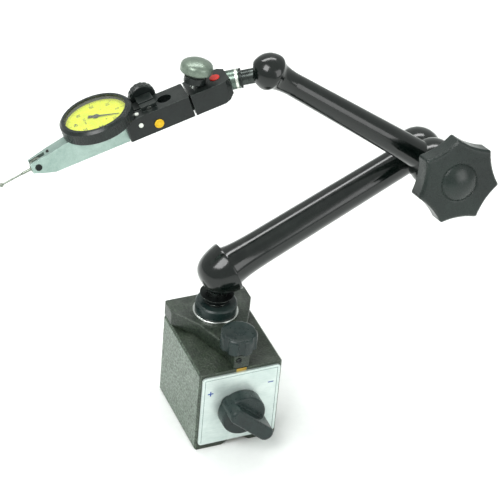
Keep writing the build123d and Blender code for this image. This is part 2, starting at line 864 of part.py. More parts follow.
with BuildPart() as lower_arm:
    with BuildSketch(lower_arm_frame):
        with BuildLine():
            bulb = Spline(
                (-lower_bulb_end, 0),
                (-0.82 * lower_bulb_end, 0.56 * lower_bulb_radius),
                (-0.25 * lower_bulb_end, 0.86 * lower_bulb_radius),
                (lower_bulb_crest, lower_bulb_radius),
                (lower_bulb_length, lower_tube_radius),
                tangents=[(0, 1), (1, -0.02)],
            )
            tube = Line(bulb @ 1, (lower_arm_length, lower_tube_elbow_radius))
            Polyline(tube @ 1, (lower_arm_length, 0), (-lower_bulb_end, 0))
        make_face()
    revolve(axis=axis_of(lower_arm_frame))
    with BuildSketch(Plane(origin=lower_eye, x_dir=elbow_axis, z_dir=lower_direction)):
        with BuildLine():
            flat = Polyline(
                (-eye_radius, 0), (eye_flat, 0), (eye_flat, chord(eye_radius, eye_flat))
            )
            ThreePointArc(flat @ 1, (0, eye_radius), flat @ 0)
        make_face()
    revolve(axis=Axis(lower_eye, elbow_axis))
    with BuildSketch(lower_eye_frame.offset(eye_flat)):
        Circle(2 * eye_radius)
    extrude(amount=eye_radius, mode=Mode.SUBTRACT)
    with BuildSketch(lower_arm_frame):
        add(
            socket_bore(
                lower_cavity,
                lower_seat_front,
                lower_seat_length,
                lower_seat_radius,
                lower_rod_radius,
                lower_arm_length,
            )
        )
        make_face()
    revolve(axis=axis_of(lower_arm_frame), mode=Mode.SUBTRACT)
    with BuildSketch(lower_eye_frame.offset(-eye_radius)):
        Circle(wedge_guide_radius + running)
    extrude(amount=eye_radius, mode=Mode.SUBTRACT)
    with BuildSketch(lower_eye_frame):
        Circle(shank_hole)
    extrude(amount=eye_radius, mode=Mode.SUBTRACT)
    add(lower_neck_slot, mode=Mode.SUBTRACT)
write(lower_arm.part, "lower_arm")

with BuildPart() as upper_arm:
    with BuildSketch(upper_arm_frame):
        with BuildLine():
            bulb = Spline(
                (-upper_bulb_end, 0),
                (-0.87 * upper_bulb_end, 0.45 * upper_bulb_radius),
                (-0.5 * upper_bulb_end, 0.86 * upper_bulb_radius),
                (0, upper_bulb_radius),
                (upper_bulb_length, upper_tube_radius),
                tangents=[(0, 1), (1, -0.05)],
            )
            tube = Line(bulb @ 1, (upper_arm_length, upper_tube_elbow_radius))
            Polyline(tube @ 1, (upper_arm_length, 0), (-upper_bulb_end, 0))
        make_face()
    revolve(axis=axis_of(upper_arm_frame))
    with BuildSketch(Plane(origin=upper_eye, x_dir=elbow_axis, z_dir=upper_direction)):
        with BuildLine():
            flats = Polyline(
                (-eye_flat, chord(eye_radius, eye_flat)),
                (-eye_flat, 0),
                (eye_front, 0),
                (eye_front, chord(eye_radius, eye_front)),
            )
            ThreePointArc(flats @ 1, (0, eye_radius), flats @ 0)
        make_face()
    revolve(axis=Axis(upper_eye, elbow_axis))
    with BuildSketch(upper_eye_frame.offset(-eye_flat)):
        Circle(2 * eye_radius)
    extrude(amount=-eye_radius, mode=Mode.SUBTRACT)
    with BuildSketch(upper_arm_frame):
        add(
            socket_bore(
                upper_cavity,
                upper_seat_front,
                upper_seat_length,
                upper_seat_radius,
                upper_rod_radius,
                upper_arm_length,
            )
        )
        make_face()
    revolve(axis=axis_of(upper_arm_frame), mode=Mode.SUBTRACT)
    with BuildSketch(upper_eye_frame):
        Circle(wedge_guide_radius + running)
    extrude(amount=eye_radius, mode=Mode.SUBTRACT)
    with BuildSketch(upper_eye_frame.offset(-eye_radius)):
        Circle(shank_hole)
    extrude(amount=eye_radius, mode=Mode.SUBTRACT)
    add(upper_neck_slot, mode=Mode.SUBTRACT)
write(upper_arm.part, "upper_arm")

with BuildPart() as friction_washer:
    with BuildSketch(lower_eye_frame.offset(eye_flat)):
        Circle(friction_washer_radius)
        Circle(shank_hole, mode=Mode.SUBTRACT)
    extrude(amount=friction_washer_thickness)
write(friction_washer.part, "friction_washer")

# ---------------------------------------------------------------- draw bolt, wedges and rods
wedge_drop = wedge_guide_radius - bolt_radius
with BuildPart() as clamp_bolt:
    with BuildSketch(Plane(origin=lower_eye, x_dir=elbow_axis, z_dir=lower_direction)):
        with BuildLine():
            Polyline(
                (-wedge_rear, 0),
                (-wedge_rear, wedge_guide_radius - 0.5),
                (-wedge_rear + 0.5, wedge_guide_radius),
                (lower_wedge_start, wedge_guide_radius),
                (lower_wedge_start + wedge_drop, bolt_radius),
                (arm_spacing + bolt_end, bolt_radius),
                (arm_spacing + bolt_end, 0),
                close=True,
            )
        make_face()
    revolve(axis=Axis(lower_eye, elbow_axis))
    with BuildSketch(lower_eye_frame.offset(-wedge_rear)):
        RegularPolygon(bolt_radius, 6)
    extrude(amount=bolt_radius, mode=Mode.SUBTRACT)
write(clamp_bolt.part, "clamp_bolt")

hub_rear = eye_front + apart
with BuildPart() as wedge_sleeve:
    with BuildSketch(Plane(origin=upper_eye, x_dir=elbow_axis, z_dir=upper_direction)):
        with BuildLine():
            tip = upper_wedge_start - (wedge_guide_radius - sleeve_tip_radius)
            Polyline(
                (tip, shank_hole),
                (tip, sleeve_tip_radius),
                (upper_wedge_start, wedge_guide_radius),
                (hub_rear - running, wedge_guide_radius),
                (hub_rear - running, shank_hole),
                close=True,
            )
        make_face()
    revolve(axis=Axis(upper_eye, elbow_axis))
write(wedge_sleeve.part, "wedge_sleeve")

with BuildPart() as lower_push_rod:
    with BuildSketch(Plane(origin=lower_ball, x_dir=elbow_axis, z_dir=lower_direction).offset(
        lower_seat_front + lower_seat_length
    )):
        Circle(lower_rod_radius)
    extrude(amount=lower_arm_length - rod_end_gap - lower_seat_front - lower_seat_length)
    with BuildSketch(Plane(origin=lower_eye, x_dir=elbow_axis, z_dir=lower_direction)):
        with BuildLine():
            gap = running * sqrt(2)
            rod_end = bolt_radius + clamp_travel + running
            Polyline(
                (-eye_radius, 0),
                (-eye_radius, wedge_guide_radius + eye_radius + lower_wedge_start + gap),
                (lower_wedge_start + wedge_guide_radius - rod_end + gap, rod_end),
                (eye_radius, rod_end),
                (eye_radius, 0),
                close=True,
            )
        make_face()
    revolve(axis=Axis(lower_eye, elbow_axis), mode=Mode.SUBTRACT)
write(lower_push_rod.part, "lower_push_rod")

with BuildPart() as lower_ball_seat:
    with BuildSketch(lower_arm_frame):
        add(ball_seat(lower_cavity, lower_seat_front, lower_seat_length, lower_seat_radius))
        make_face()
    revolve(axis=axis_of(lower_arm_frame))
write(lower_ball_seat.part, "lower_ball_seat")

with BuildPart() as upper_push_rod:
    with BuildSketch(Plane(origin=upper_ball, x_dir=elbow_axis, z_dir=upper_direction * -1).offset(
        upper_seat_front + upper_seat_length
    )):
        Circle(upper_rod_radius)
    extrude(amount=upper_arm_length - rod_end_gap - upper_seat_front - upper_seat_length)
    with BuildSketch(Plane(origin=upper_eye, x_dir=elbow_axis, z_dir=upper_direction)):
        with BuildLine():
            sleeve_end = sleeve_tip_radius + clamp_travel + running
            Polyline(
                (-eye_radius, 0),
                (-eye_radius, sleeve_end),
                (upper_wedge_start - wedge_guide_radius + sleeve_end - gap, sleeve_end),
                (eye_radius, wedge_guide_radius + eye_radius - upper_wedge_start + gap),
                (eye_radius, 0),
                close=True,
            )
        make_face()
    revolve(axis=Axis(upper_eye, elbow_axis), mode=Mode.SUBTRACT)
write(upper_push_rod.part, "upper_push_rod")

with BuildPart() as upper_ball_seat:
    with BuildSketch(upper_arm_frame):
        add(ball_seat(upper_cavity, upper_seat_front, upper_seat_length, upper_seat_radius))
        make_face()
    revolve(axis=axis_of(upper_arm_frame))
write(upper_ball_seat.part, "upper_ball_seat")

# ---------------------------------------------------------------- star knob
star_frame = Plane(origin=upper_eye, x_dir=arm_direction(star_phase), z_dir=elbow_axis)
star_rear = star_distance - star_thickness / 2
star_front = star_distance + star_thickness / 2


def polar(radius, angle):
    return (radius * cos(radians(angle)), radius * sin(radians(angle)))


with BuildPart() as star_knob:
    with BuildSketch(star_frame.offset(star_rear)) as star:
        with BuildLine():
            step = 360 / star_lobes
            for lobe in range(star_lobes):
                ThreePointArc(
                    polar(star_tip_radius, lobe * step),
                    polar(star_valley_radius, (lobe + 0.5) * step),
                    polar(star_tip_radius, (lobe + 1) * step),
                )
        make_face()
        fillet(star.vertices(), radius=star_tip_round)
    extrude(amount=star_thickness)
    chamfer(star_knob.faces().filter_by(GeomType.PLANE).edges(), length=star_edge)
    with BuildSketch(star_frame.offset(hub_rear)):
        Circle(star_neck_radius)
    extrude(amount=star_rear - hub_rear)
    with BuildSketch(star_frame.offset(hub_rear)):
        Circle(shank_hole)
    extrude(amount=insert_rear - hub_rear, mode=Mode.SUBTRACT)
    with BuildSketch(star_frame.offset(insert_rear)):
        Circle(insert_radius + fastener)
    extrude(amount=insert_front - insert_rear, mode=Mode.SUBTRACT)
    with BuildSketch(star_frame.offset(star_front - cap_seat)):
        Circle(cap_radius + fastener)
    extrude(amount=cap_seat, mode=Mode.SUBTRACT)
write(star_knob.part, "star_knob")

with BuildPart() as knob_insert:
    with BuildSketch(star_frame.offset(insert_rear)):
        Circle(insert_radius)
        Circle(bolt_radius + running, mode=Mode.SUBTRACT)
    extrude(amount=insert_front - insert_rear)
write(knob_insert.part, "knob_insert")

with BuildPart() as knob_cap:
    with BuildSketch(Plane(origin=upper_eye, x_dir=elbow_axis, z_dir=upper_direction)):
        with BuildLine():
            seat = star_front - cap_seat
            rim = Polyline(
                (star_front + cap_dome, 0), (seat, 0), (seat, cap_radius), (star_front, cap_radius)
            )
            dome_radius = (cap_radius**2 + cap_dome**2) / (2 * cap_dome)
            sagitta = dome_radius - sqrt(dome_radius**2 - (cap_radius / 2) ** 2)
            ThreePointArc(
                rim @ 1,
                (star_front + cap_dome - sagitta, cap_radius / 2),
                (star_front + cap_dome, 0),
            )
        make_face()
    revolve(axis=Axis(upper_eye, elbow_axis))
write(knob_cap.part, "knob_cap")

# ================================================================ upper ball joint
with BuildPart() as head_ball_stud:
    with BuildSketch(Plane(origin=upper_ball, x_dir=neck_axis, z_dir=upper_tilt_axis)):
        with BuildLine():
            shank = Polyline(
                (-upper_ball_radius, 0),
                (upper_thread_end, 0),
                (upper_thread_end, upper_thread_radius),
                (sleeve_start, upper_thread_radius),
                (sleeve_start, neck_radius),
                (chord(upper_ball_radius, neck_radius), neck_radius),
            )
            ThreePointArc(shank @ 1, (0, upper_ball_radius), shank @ 0)
        make_face()
    revolve(axis=Axis(upper_ball, neck_axis))
write(head_ball_stud.part, "head_ball_stud")

with BuildPart() as upper_swivel_ring:
    with BuildSketch(neck_frame.offset(ring_start)):
        Circle(ring_radius)
        Circle(neck_radius + running, mode=Mode.SUBTRACT)
    extrude(amount=ring_thickness)
write(upper_swivel_ring.part, "upper_swivel_ring")

block_rear_plane = placed(head, (-block_rear, 0, 0), x_dir=(0, 1, 0), z_dir=(1, 0, 0))
block_front_plane = placed(head, (-block_front, 0, 0), x_dir=(0, 1, 0), z_dir=(1, 0, 0))
with BuildPart() as neck_sleeve:
    with BuildSketch(neck_frame.offset(sleeve_start)):
        Circle(sleeve_radius)
        Circle(upper_thread_radius + fastener, mode=Mode.SUBTRACT)
    extrude(amount=upper_thread_end - sleeve_start)
    split(bisect_by=block_rear_plane, keep=Keep.BOTTOM)
write(neck_sleeve.part, "neck_sleeve")

# ================================================================ head
# planes of the head: seen from its front, from above, and across the fine screw
head_front = placed(head, (0, 0, 0), z_dir=(0, 1, 0), x_dir=(-1, 0, 0))
screw_direction = (-sin(radians(fine_angle)), 0, cos(radians(fine_angle)))
screw_side = (cos(radians(fine_angle)), 0, sin(radians(fine_angle)))
fine_knob_plane = placed(
    head, (fine_knob_x, 0, fine_knob_z), x_dir=screw_side, z_dir=screw_direction
)
contact_drop = (fine_knob_z - fine_contact_z) / cos(radians(fine_angle))
shoe_tip = -contact_drop + 2 * running
shoe_back = shoe_tip + fine_shoe_thickness
pocket_top = fine_contact_z + apart + 0.4


def head_profile(*points):
    """An outline in the head's upright middle plane, from points along and up the head."""
    with BuildSketch(head_front) as profile:
        with BuildLine():
            Polyline(*[(-x, z) for x, z in points], close=True)
        make_face()
    return profile.sketch


with BuildPart() as head_block:
    extrude(
        head_profile(
            (-block_front, 0),
            (-block_rear, 0),
            (-block_rear, block_nose_rise - head_depth),
            (block_nose_length - block_rear, -head_depth),
            (-block_front, -head_depth),
        ),
        amount=head_half_width,
        both=True,
    )
    rear_face = head_block.faces().sort_by(Axis(head.origin, head_x))[0]
    chamfer(rear_face.edges().filter_by(Axis(head.origin, head_z)), length=block_end_chamfer)
    with BuildSketch(fine_knob_plane.offset(-fine_boss_below)):
        Circle(fine_boss_radius)
    extrude(amount=fine_boss_below - contact_drop / 2)
    split(bisect_by=block_front_plane, keep=Keep.BOTTOM)
    extrude(
        head_profile(
            (pivot_x - tongue_eye_radius - apart, -head_depth),
            (pivot_x - tongue_eye_radius - apart, pocket_top),
            (-block_front, pocket_top),
            (-block_front, -head_depth),
        ),
        amount=tongue_half_width + apart,
        both=True,
        mode=Mode.SUBTRACT,
    )
    with BuildSketch(head_front.offset(-jaw_pin_half_length)):
        with Locations((-pivot_x, pivot_z)):
            Circle(jaw_pin_radius + fastener)
    extrude(amount=2 * jaw_pin_half_length, mode=Mode.SUBTRACT)
    with BuildSketch(fine_knob_plane):
        Circle(fine_screw_radius + running)
    extrude(amount=-contact_drop, mode=Mode.SUBTRACT)
    with BuildSketch(neck_frame):
        Circle(upper_thread_radius + fastener)
    extrude(amount=upper_thread_end, mode=Mode.SUBTRACT)
    with BuildSketch(placed(head, (red_plug_x, 0, -plug_depth))):
        Circle(red_plug_radius + fastener)
    extrude(amount=head_depth, mode=Mode.SUBTRACT)
write(head_block.part, "head_block")

with BuildPart() as red_plug:
    with BuildSketch(placed(head, (red_plug_x, 0, -plug_depth))):
        Circle(red_plug_radius)
    extrude(amount=plug_depth + plug_proud)
    fillet(red_plug.faces().sort_by(Axis(head.origin, head_z))[-1].edges(), radius=0.3)
write(red_plug.part, "red_plug")

with BuildPart() as jaw_pin:
    with BuildSketch(head_front.offset(-jaw_pin_half_length)):
        with Locations((-pivot_x, pivot_z)):
            Circle(jaw_pin_radius)
    extrude(amount=2 * jaw_pin_half_length)
write(jaw_pin.part, "jaw_pin")

# the fine screw's shoe rests on the tongue, and the screw turns on the shoe's stem
with BuildPart() as head_shoe:
    with BuildSketch(fine_knob_plane.offset(shoe_tip)):
        Circle(fine_shoe_radius)
    extrude(amount=fine_shoe_thickness)
    with BuildSketch(fine_knob_plane.offset(shoe_back)):
        Circle(fine_shoe_stem_radius)
    extrude(amount=fine_shoe_stem)
write(head_shoe.part, "head_shoe")

fine_knob_bottom = -fine_knob_thickness / 2
with BuildPart() as head_adjust_screw:
    with BuildSketch(fine_knob_plane.offset(shoe_back + running)):
        Circle(fine_screw_radius)
    extrude(amount=fine_knob_bottom + fine_knob_thickness / 2 - shoe_back)
    with BuildSketch(fine_knob_plane.offset(shoe_back)):
        Circle(fine_shoe_stem_radius + running)
    extrude(amount=fine_shoe_stem + 2 * running, mode=Mode.SUBTRACT)
write(head_adjust_screw.part, "head_adjust_screw")

with BuildPart() as head_adjust_knob:
    with BuildSketch(placed(fine_knob_plane, (0, 0, 0), x_dir=(1, 0, 0), z_dir=(0, -1, 0))):
        with BuildLine():
            knob_top = fine_knob_thickness / 2
            rim_top = fine_knob_bottom + fine_knob_rim
            rim_round = 1.0
            outline = Polyline(
                (0, fine_knob_bottom),
                (fine_knob_radius - rim_round, fine_knob_bottom),
                (fine_knob_radius, fine_knob_bottom + rim_round),
                (fine_knob_radius, rim_top),
            )
            Spline(
                (fine_knob_radius, rim_top),
                (0.7 * fine_knob_radius, knob_top - 1.4),
                (0, knob_top),
                tangents=[(0, 1), (-1, 0)],
            )
            Line((0, knob_top), (0, fine_knob_bottom))
        make_face()
    revolve(axis=Axis(fine_knob_plane.origin, fine_knob_plane.z_dir))
    with BuildSketch(fine_knob_plane.offset(fine_knob_bottom)):
        Circle(fine_screw_radius + fastener)
    extrude(amount=fine_knob_thickness / 2 + running, mode=Mode.SUBTRACT)
write(head_adjust_knob.part, "head_adjust_knob")

# ---------------------------------------------------------------- jaw with the stem bore
jaw_rear = -(block_front - jaw_slot)
with BuildPart() as stem_jaw:
    extrude(
        head_profile(
            (jaw_rear, 0), (jaw_front, 0), (jaw_front, -head_depth), (jaw_rear, -head_depth)
        ),
        amount=head_half_width,
        both=True,
    )
    chamfer(stem_jaw.edges().filter_by(Axis(head.origin, head_z)), length=head_edge)
    with BuildSketch(placed(head, (0, 0, -clamp_screw_radius))):
        with Locations((clamp_x, (clamp_boss_front - head_half_width) / 2)):
            Rectangle(2 * clamp_boss_half_length, clamp_boss_front + head_half_width)
    extrude(amount=clamp_boss_height + clamp_screw_radius)
    # the tongue with its eye round the pin, and the seat of the fine screw's shoe
    extrude(
        head_profile(
            (jaw_rear + 1, pivot_z - tongue_eye_radius),
            (pivot_x, pivot_z - tongue_eye_radius),
            (pivot_x, fine_contact_z - 0.5),
            (fine_contact_x - 2.0, fine_contact_z + 0.3),
            (jaw_rear + 1, fine_contact_z + 0.3),
        ),
        amount=tongue_half_width,
        both=True,
    )
    with BuildSketch(head_front.offset(-tongue_half_width)):
        with Locations((-pivot_x, pivot_z)):
            Circle(tongue_eye_radius)
    extrude(amount=2 * tongue_half_width)
    with BuildSketch(head_front.offset(-tongue_half_width)):
        with Locations((-pivot_x, pivot_z)):
            Circle(jaw_pin_radius + running)
    extrude(amount=2 * tongue_half_width, mode=Mode.SUBTRACT)
    with BuildSketch(fine_knob_plane.offset(-contact_drop)):
        Circle(2 * fine_shoe_radius)
    extrude(amount=fine_shoe_thickness, mode=Mode.SUBTRACT)
    with BuildSketch(placed(head, (0, 0, -head_depth))):
        Circle(stem_bore_radius)
        with Locations((jaw_front / 2, 0)):
            Rectangle(jaw_front, slit_width)
    extrude(amount=2 * head_depth, mode=Mode.SUBTRACT)
    with BuildSketch(placed(head, (0, 0, -head_depth))):
        with BuildLine():
            Polyline(
                (jaw_front, dovetail_mouth),
                (jaw_front - dovetail_depth, dovetail_root),
                (jaw_front - dovetail_depth, -dovetail_root),
                (jaw_front, -dovetail_mouth),
                close=True,
            )
        make_face()
    extrude(amount=2 * head_depth, mode=Mode.SUBTRACT)
    with BuildSketch(head_front.offset(-head_half_width)):
        with Locations((-clamp_x, clamp_z)):
            Circle(clamp_screw_radius + running)
    extrude(amount=head_half_width + clamp_boss_front, mode=Mode.SUBTRACT)
    with BuildSketch(head_front.offset(head_half_width)):
        with Locations((-brass_plug_x, brass_plug_z)):
            Circle(brass_plug_radius + fastener)
        with Locations((-white_pin_x, white_pin_z)):
            Circle(white_pin_radius + fastener)
    extrude(amount=-plug_depth, mode=Mode.SUBTRACT)
    with BuildSketch(placed(head, (white_pin_x, white_pin_y, 0))):
        Circle(white_pin_radius + fastener)
    extrude(amount=-plug_depth, mode=Mode.SUBTRACT)
write(stem_jaw.part, "stem_jaw")

with BuildPart() as brass_plug:
    with BuildSketch(head_front.offset(head_half_width - plug_depth)):
        with Locations((-brass_plug_x, brass_plug_z)):
            Circle(brass_plug_radius)
    extrude(amount=plug_depth + plug_proud)
write(brass_plug.part, "brass_plug")

with BuildPart() as white_pins:
    with BuildSketch(head_front.offset(head_half_width - plug_depth)):
        with Locations((-white_pin_x, white_pin_z)):
            Circle(white_pin_radius)
    extrude(amount=plug_depth + plug_proud)
    with BuildSketch(placed(head, (white_pin_x, white_pin_y, -plug_depth))):
        Circle(white_pin_radius)
    extrude(amount=plug_depth + plug_proud)
write(white_pins.part, "white_pins")

clamp_knob_rear = -head_half_width - apart
clamp_knob_back = clamp_knob_rear - clamp_knob_thickness
with BuildPart() as clamp_screw:
    with BuildSketch(head_front.offset(clamp_knob_rear - clamp_knob_insertion)):
        with Locations((-clamp_x, clamp_z)):
            Circle(clamp_screw_radius)
    extrude(amount=clamp_boss_front - clamp_knob_rear + clamp_knob_insertion - apart)
write(clamp_screw.part, "clamp_screw")

with BuildPart() as clamp_knob:
    with BuildSketch(head_front.offset(clamp_knob_back)):
        with Locations((-clamp_x, clamp_z)):
            Circle(clamp_knob_radius)
    extrude(amount=clamp_knob_thickness)
    chamfer(clamp_knob.edges().filter_by(GeomType.CIRCLE), length=0.8)
    with BuildSketch(head_front.offset(clamp_knob_back)):
        with Locations((-clamp_x, clamp_z)):
            with PolarLocations(clamp_knob_radius + clamp_flute_radius / 2, clamp_knob_flutes):
                Circle(clamp_flute_radius)
    extrude(amount=clamp_knob_thickness, mode=Mode.SUBTRACT)
    with BuildSketch(head_front.offset(clamp_knob_rear)):
        with Locations((-clamp_x, clamp_z)):
            Circle(clamp_screw_radius + fastener)
    extrude(amount=-clamp_knob_insertion, mode=Mode.SUBTRACT)
write(clamp_knob.part, "clamp_knob")

# ================================================================ lever indicator
dial_centre = (dial_x, 0, 0)
crown_x = dial_x
hub_half_width = fork_half_width - hub_side_gap
nose_side = nose_half_thickness + (body_half_width - nose_half_thickness) * (
    (body_nose_x - stylus_pivot_x) / (body_nose_x - body_chin_x)
)
top_screw_z = body_nose_top * (top_screw_x - body_slope_x) / (body_nose_x - body_slope_x)
nose_bottom_x = body_nose_x - 0.2


def gear_line(x):
    """A point of the gear train's line, for a sketch seen from the head's front."""
    return (-x, gear_line_z)


with BuildPart() as indicator_body:
    extrude(
        head_profile(
            (jaw_front, 0),
            (body_slope_x, 0),
            (body_nose_x, body_nose_top),
            (nose_bottom_x, body_nose_bottom),
            (body_chin_x + 6, body_nose_bottom - 2),
            (body_chin_x, -body_depth),
            (jaw_front, -body_depth),
        ),
        amount=body_half_width,
        both=True,
    )
    # the nose tapers in plan
    with BuildSketch(placed(head, (0, 0, -body_depth))):
        for side in (-1, 1):
            with BuildLine():
                Polyline(
                    (body_chin_x, side * body_half_width),
                    (body_nose_x, side * nose_half_thickness),
                    (body_nose_x, side * 2 * body_half_width),
                    (body_chin_x, side * 2 * body_half_width),
                    close=True,
                )
            make_face()
    extrude(amount=2 * body_depth, mode=Mode.SUBTRACT)
    with BuildSketch(placed(head, dial_centre)):
        Circle(case_radius)
    extrude(amount=case_top)
    with BuildSketch(placed(head, (0, 0, -body_depth))):
        with BuildLine():
            Polyline(
                (jaw_front, dovetail_mouth - running),
                (jaw_front - dovetail_depth + running, dovetail_root - running),
                (jaw_front - dovetail_depth + running, -dovetail_root + running),
                (jaw_front, -dovetail_mouth + running),
                close=True,
            )
        make_face()
    extrude(amount=body_depth)
    # the works' cavity, open below, and the fork at the nose
    extrude(
        head_profile(
            (cavity_start, -cavity_roof),
            (body_slope_x, -cavity_roof),
            (cavity_end, -cavity_roof - 2.5),
            (cavity_end, -body_depth),
            (cavity_start, -body_depth),
        ),
        amount=cavity_half_width,
        both=True,
        mode=Mode.SUBTRACT,
    )
    extrude(
        head_profile(
            (fork_root_x, 0), (body_nose_x + 1, 0),
            (body_nose_x + 1, -body_depth), (fork_root_x, -body_depth),
        ),
        amount=fork_half_width,
        both=True,
        mode=Mode.SUBTRACT,
    )
    extrude(
        head_profile(
            (cavity_end - 1, gear_line_z + 2 * tail_half_height),
            (fork_root_x + 1, gear_line_z + 2 * tail_half_height),
            (fork_root_x + 1, gear_line_z - 2 * tail_half_height),
            (cavity_end - 1, gear_line_z - 2 * tail_half_height),
        ),
        amount=fork_half_width,
        both=True,
        mode=Mode.SUBTRACT,
    )
    with BuildSketch(placed(head, dial_centre).offset(-body_depth / 2)):
        Circle(spindle_radius + running)
    extrude(amount=body_depth, mode=Mode.SUBTRACT)
    with BuildSketch(head_front.offset(-arbor_half_length - running)):
        with Locations(gear_line(sector_pivot_x), gear_line(crown_x)):
            Circle(arbor_radius + running)
    extrude(amount=2 * (arbor_half_length + running), mode=Mode.SUBTRACT)
    with BuildSketch(head_front.offset(-body_half_width)):
        with Locations(gear_line(stylus_pivot_x)):
            Circle(pivot_screw_radius + fastener)
    extrude(amount=2 * body_half_width, mode=Mode.SUBTRACT)
    with BuildSketch(placed(head, (top_screw_x, 0, top_screw_z))):
        Circle(top_screw_radius + fastener)
    extrude(amount=-top_screw_length, mode=Mode.SUBTRACT)
write(indicator_body.part, "indicator_body")

with BuildPart() as indicator_cover:
    extrude(
        head_profile(
            (cavity_start + running, -body_depth),
            (cavity_end - running, -body_depth),
            (cavity_end - running, cover_thickness - body_depth),
            (cavity_start + running, cover_thickness - body_depth),
        ),
        amount=cavity_half_width - running,
        both=True,
    )
write(indicator_cover.part, "indicator_cover")

with BuildPart() as top_screw:
    with BuildSketch(placed(head, (top_screw_x, 0, top_screw_z))):
        Circle(top_screw_radius)
    extrude(amount=-top_screw_length)
    with BuildSketch(placed(head, (top_screw_x, 0, top_screw_z))):
        Rectangle(2 * top_screw_radius, top_screw_radius / 3)
    extrude(amount=-top_screw_radius / 2, mode=Mode.SUBTRACT)
write(top_screw.part, "top_screw")

# one screw on each side of the nose, with a tip that the stylus's hub turns on
with BuildPart() as pivot_screws:
    for side in (-1, 1):
        outside = side * (nose_side + pivot_screw_head)
        with BuildSketch(head_front.offset(outside)):
            with Locations(gear_line(stylus_pivot_x)):
                Circle(pivot_screw_radius)
        extrude(amount=side * (fork_half_width - side * outside))
        with BuildSketch(head_front.offset(side * fork_half_width)):
            with Locations(gear_line(stylus_pivot_x)):
                Circle(pivot_tip_radius)
        extrude(amount=-side * (pivot_tip_depth + fork_half_width - hub_half_width))
write(pivot_screws.part, "pivot_screws")

# ---------------------------------------------------------------- bezel, crystal and dial
dial_axis = Axis(head.origin + along(head, *dial_centre), head_z)
dial_side = placed(head, dial_centre, x_dir=(1, 0, 0), z_dir=(0, -1, 0))
crystal_top = bezel_top - bezel_lip
crystal_bottom = crystal_top - crystal_thickness
dial_top = dial_height + dial_thickness

with BuildPart() as bezel:
    with BuildSketch(dial_side):
        with BuildLine():
            Polyline(
                (case_radius + running, bezel_bottom),
                (bezel_radius - 0.5, bezel_bottom),
                (bezel_radius, bezel_bottom + 0.5),
                (bezel_radius, bezel_top - 1.4),
                (bezel_radius - 1.4, bezel_top),
                (bezel_lip_radius, bezel_top),
                (bezel_lip_radius, crystal_top),
                (bezel_seat_radius, crystal_top),
                (bezel_seat_radius, case_top + apart),
                (case_radius + running, case_top + apart),
                close=True,
            )
        make_face()
    revolve(axis=dial_axis)
    with BuildSketch(placed(head, dial_centre).offset(bezel_bottom)):
        with PolarLocations(bezel_radius + bezel_flute_radius / 2, bezel_flutes):
            Circle(bezel_flute_radius)
    extrude(amount=bezel_top - 2 - bezel_bottom, mode=Mode.SUBTRACT)
write(bezel.part, "bezel")

with BuildPart() as crystal:
    with BuildSketch(placed(head, dial_centre).offset(crystal_bottom)):
        Circle(bezel_seat_radius - fastener)
    extrude(amount=crystal_thickness)
write(crystal.part, "crystal")

with BuildPart() as dial_face:
    with BuildSketch(placed(head, dial_centre).offset(dial_height)):
        Circle(bezel_seat_radius - fastener)
        Circle(dial_hole_radius, mode=Mode.SUBTRACT)
    extrude(amount=dial_thickness)
write(dial_face.part, "dial_face")

with BuildPart() as dial_rim:
    with BuildSketch(placed(head, dial_centre).offset(dial_top)):
        Circle(bezel_seat_radius - fastener)
        Circle(bezel_seat_radius - dial_rim_width, mode=Mode.SUBTRACT)
    extrude(amount=crystal_bottom - dial_top)
write(dial_rim.part, "dial_rim")

# ---------------------------------------------------------------- the works
crown_back_y = crown_face_y - crown_thickness
spindle_foot = gear_line_z + pinion_ratio * pinion_radius - pinion_half_length - mesh_gap
hand_plane = placed(
    head,
    (dial_x, 0, hand_height),
    x_dir=(cos(radians(hand_angle)), sin(radians(hand_angle)), 0),
)
with BuildPart() as pointer:
    with BuildSketch(hand_plane):
        with BuildLine():
            Polyline(
                (-hand_tail, -hand_width),
                (0, -hand_width / 2),
                (hand_length, -hand_width / 8),
                (hand_length, hand_width / 8),
                (0, hand_width / 2),
                (-hand_tail, hand_width),
                close=True,
            )
        make_face()
        Circle(hand_hub_radius)
    extrude(amount=hand_thickness)
    with BuildSketch(placed(head, (dial_x, 0, spindle_foot))):
        Circle(spindle_radius)
    extrude(amount=hand_height - spindle_foot)
    with BuildSketch(placed(head, (dial_x, 0, spindle_foot))):
        Circle(pinion_radius)
    extrude(amount=2 * pinion_half_length)
write(pointer.part, "pointer")

crown_pinion_radius = (sector_pivot_x - crown_x) / (crown_ratio + 1)
sector_radius = crown_ratio * crown_pinion_radius - mesh_gap
with BuildPart() as crown_wheel:
    with BuildSketch(head_front.offset(crown_back_y)):
        with Locations(gear_line(crown_x)):
            Circle(crown_radius)
    extrude(amount=crown_thickness - 0.4)
    with BuildSketch(head_front.offset(crown_back_y)):
        with Locations(gear_line(crown_x)):
            Circle(crown_radius)
            Circle(pinion_ratio * pinion_radius - pinion_half_length, mode=Mode.SUBTRACT)
    extrude(amount=crown_thickness)
    with BuildSketch(head_front.offset(sector_y - 0.1)):
        with Locations(gear_line(crown_x)):
            Circle(crown_pinion_radius)
    extrude(amount=sector_thickness + 0.2)
    with BuildSketch(head_front.offset(-arbor_half_length)):
        with Locations(gear_line(crown_x)):
            Circle(arbor_radius)
    extrude(amount=2 * arbor_half_length)
write(crown_wheel.part, "crown_wheel")

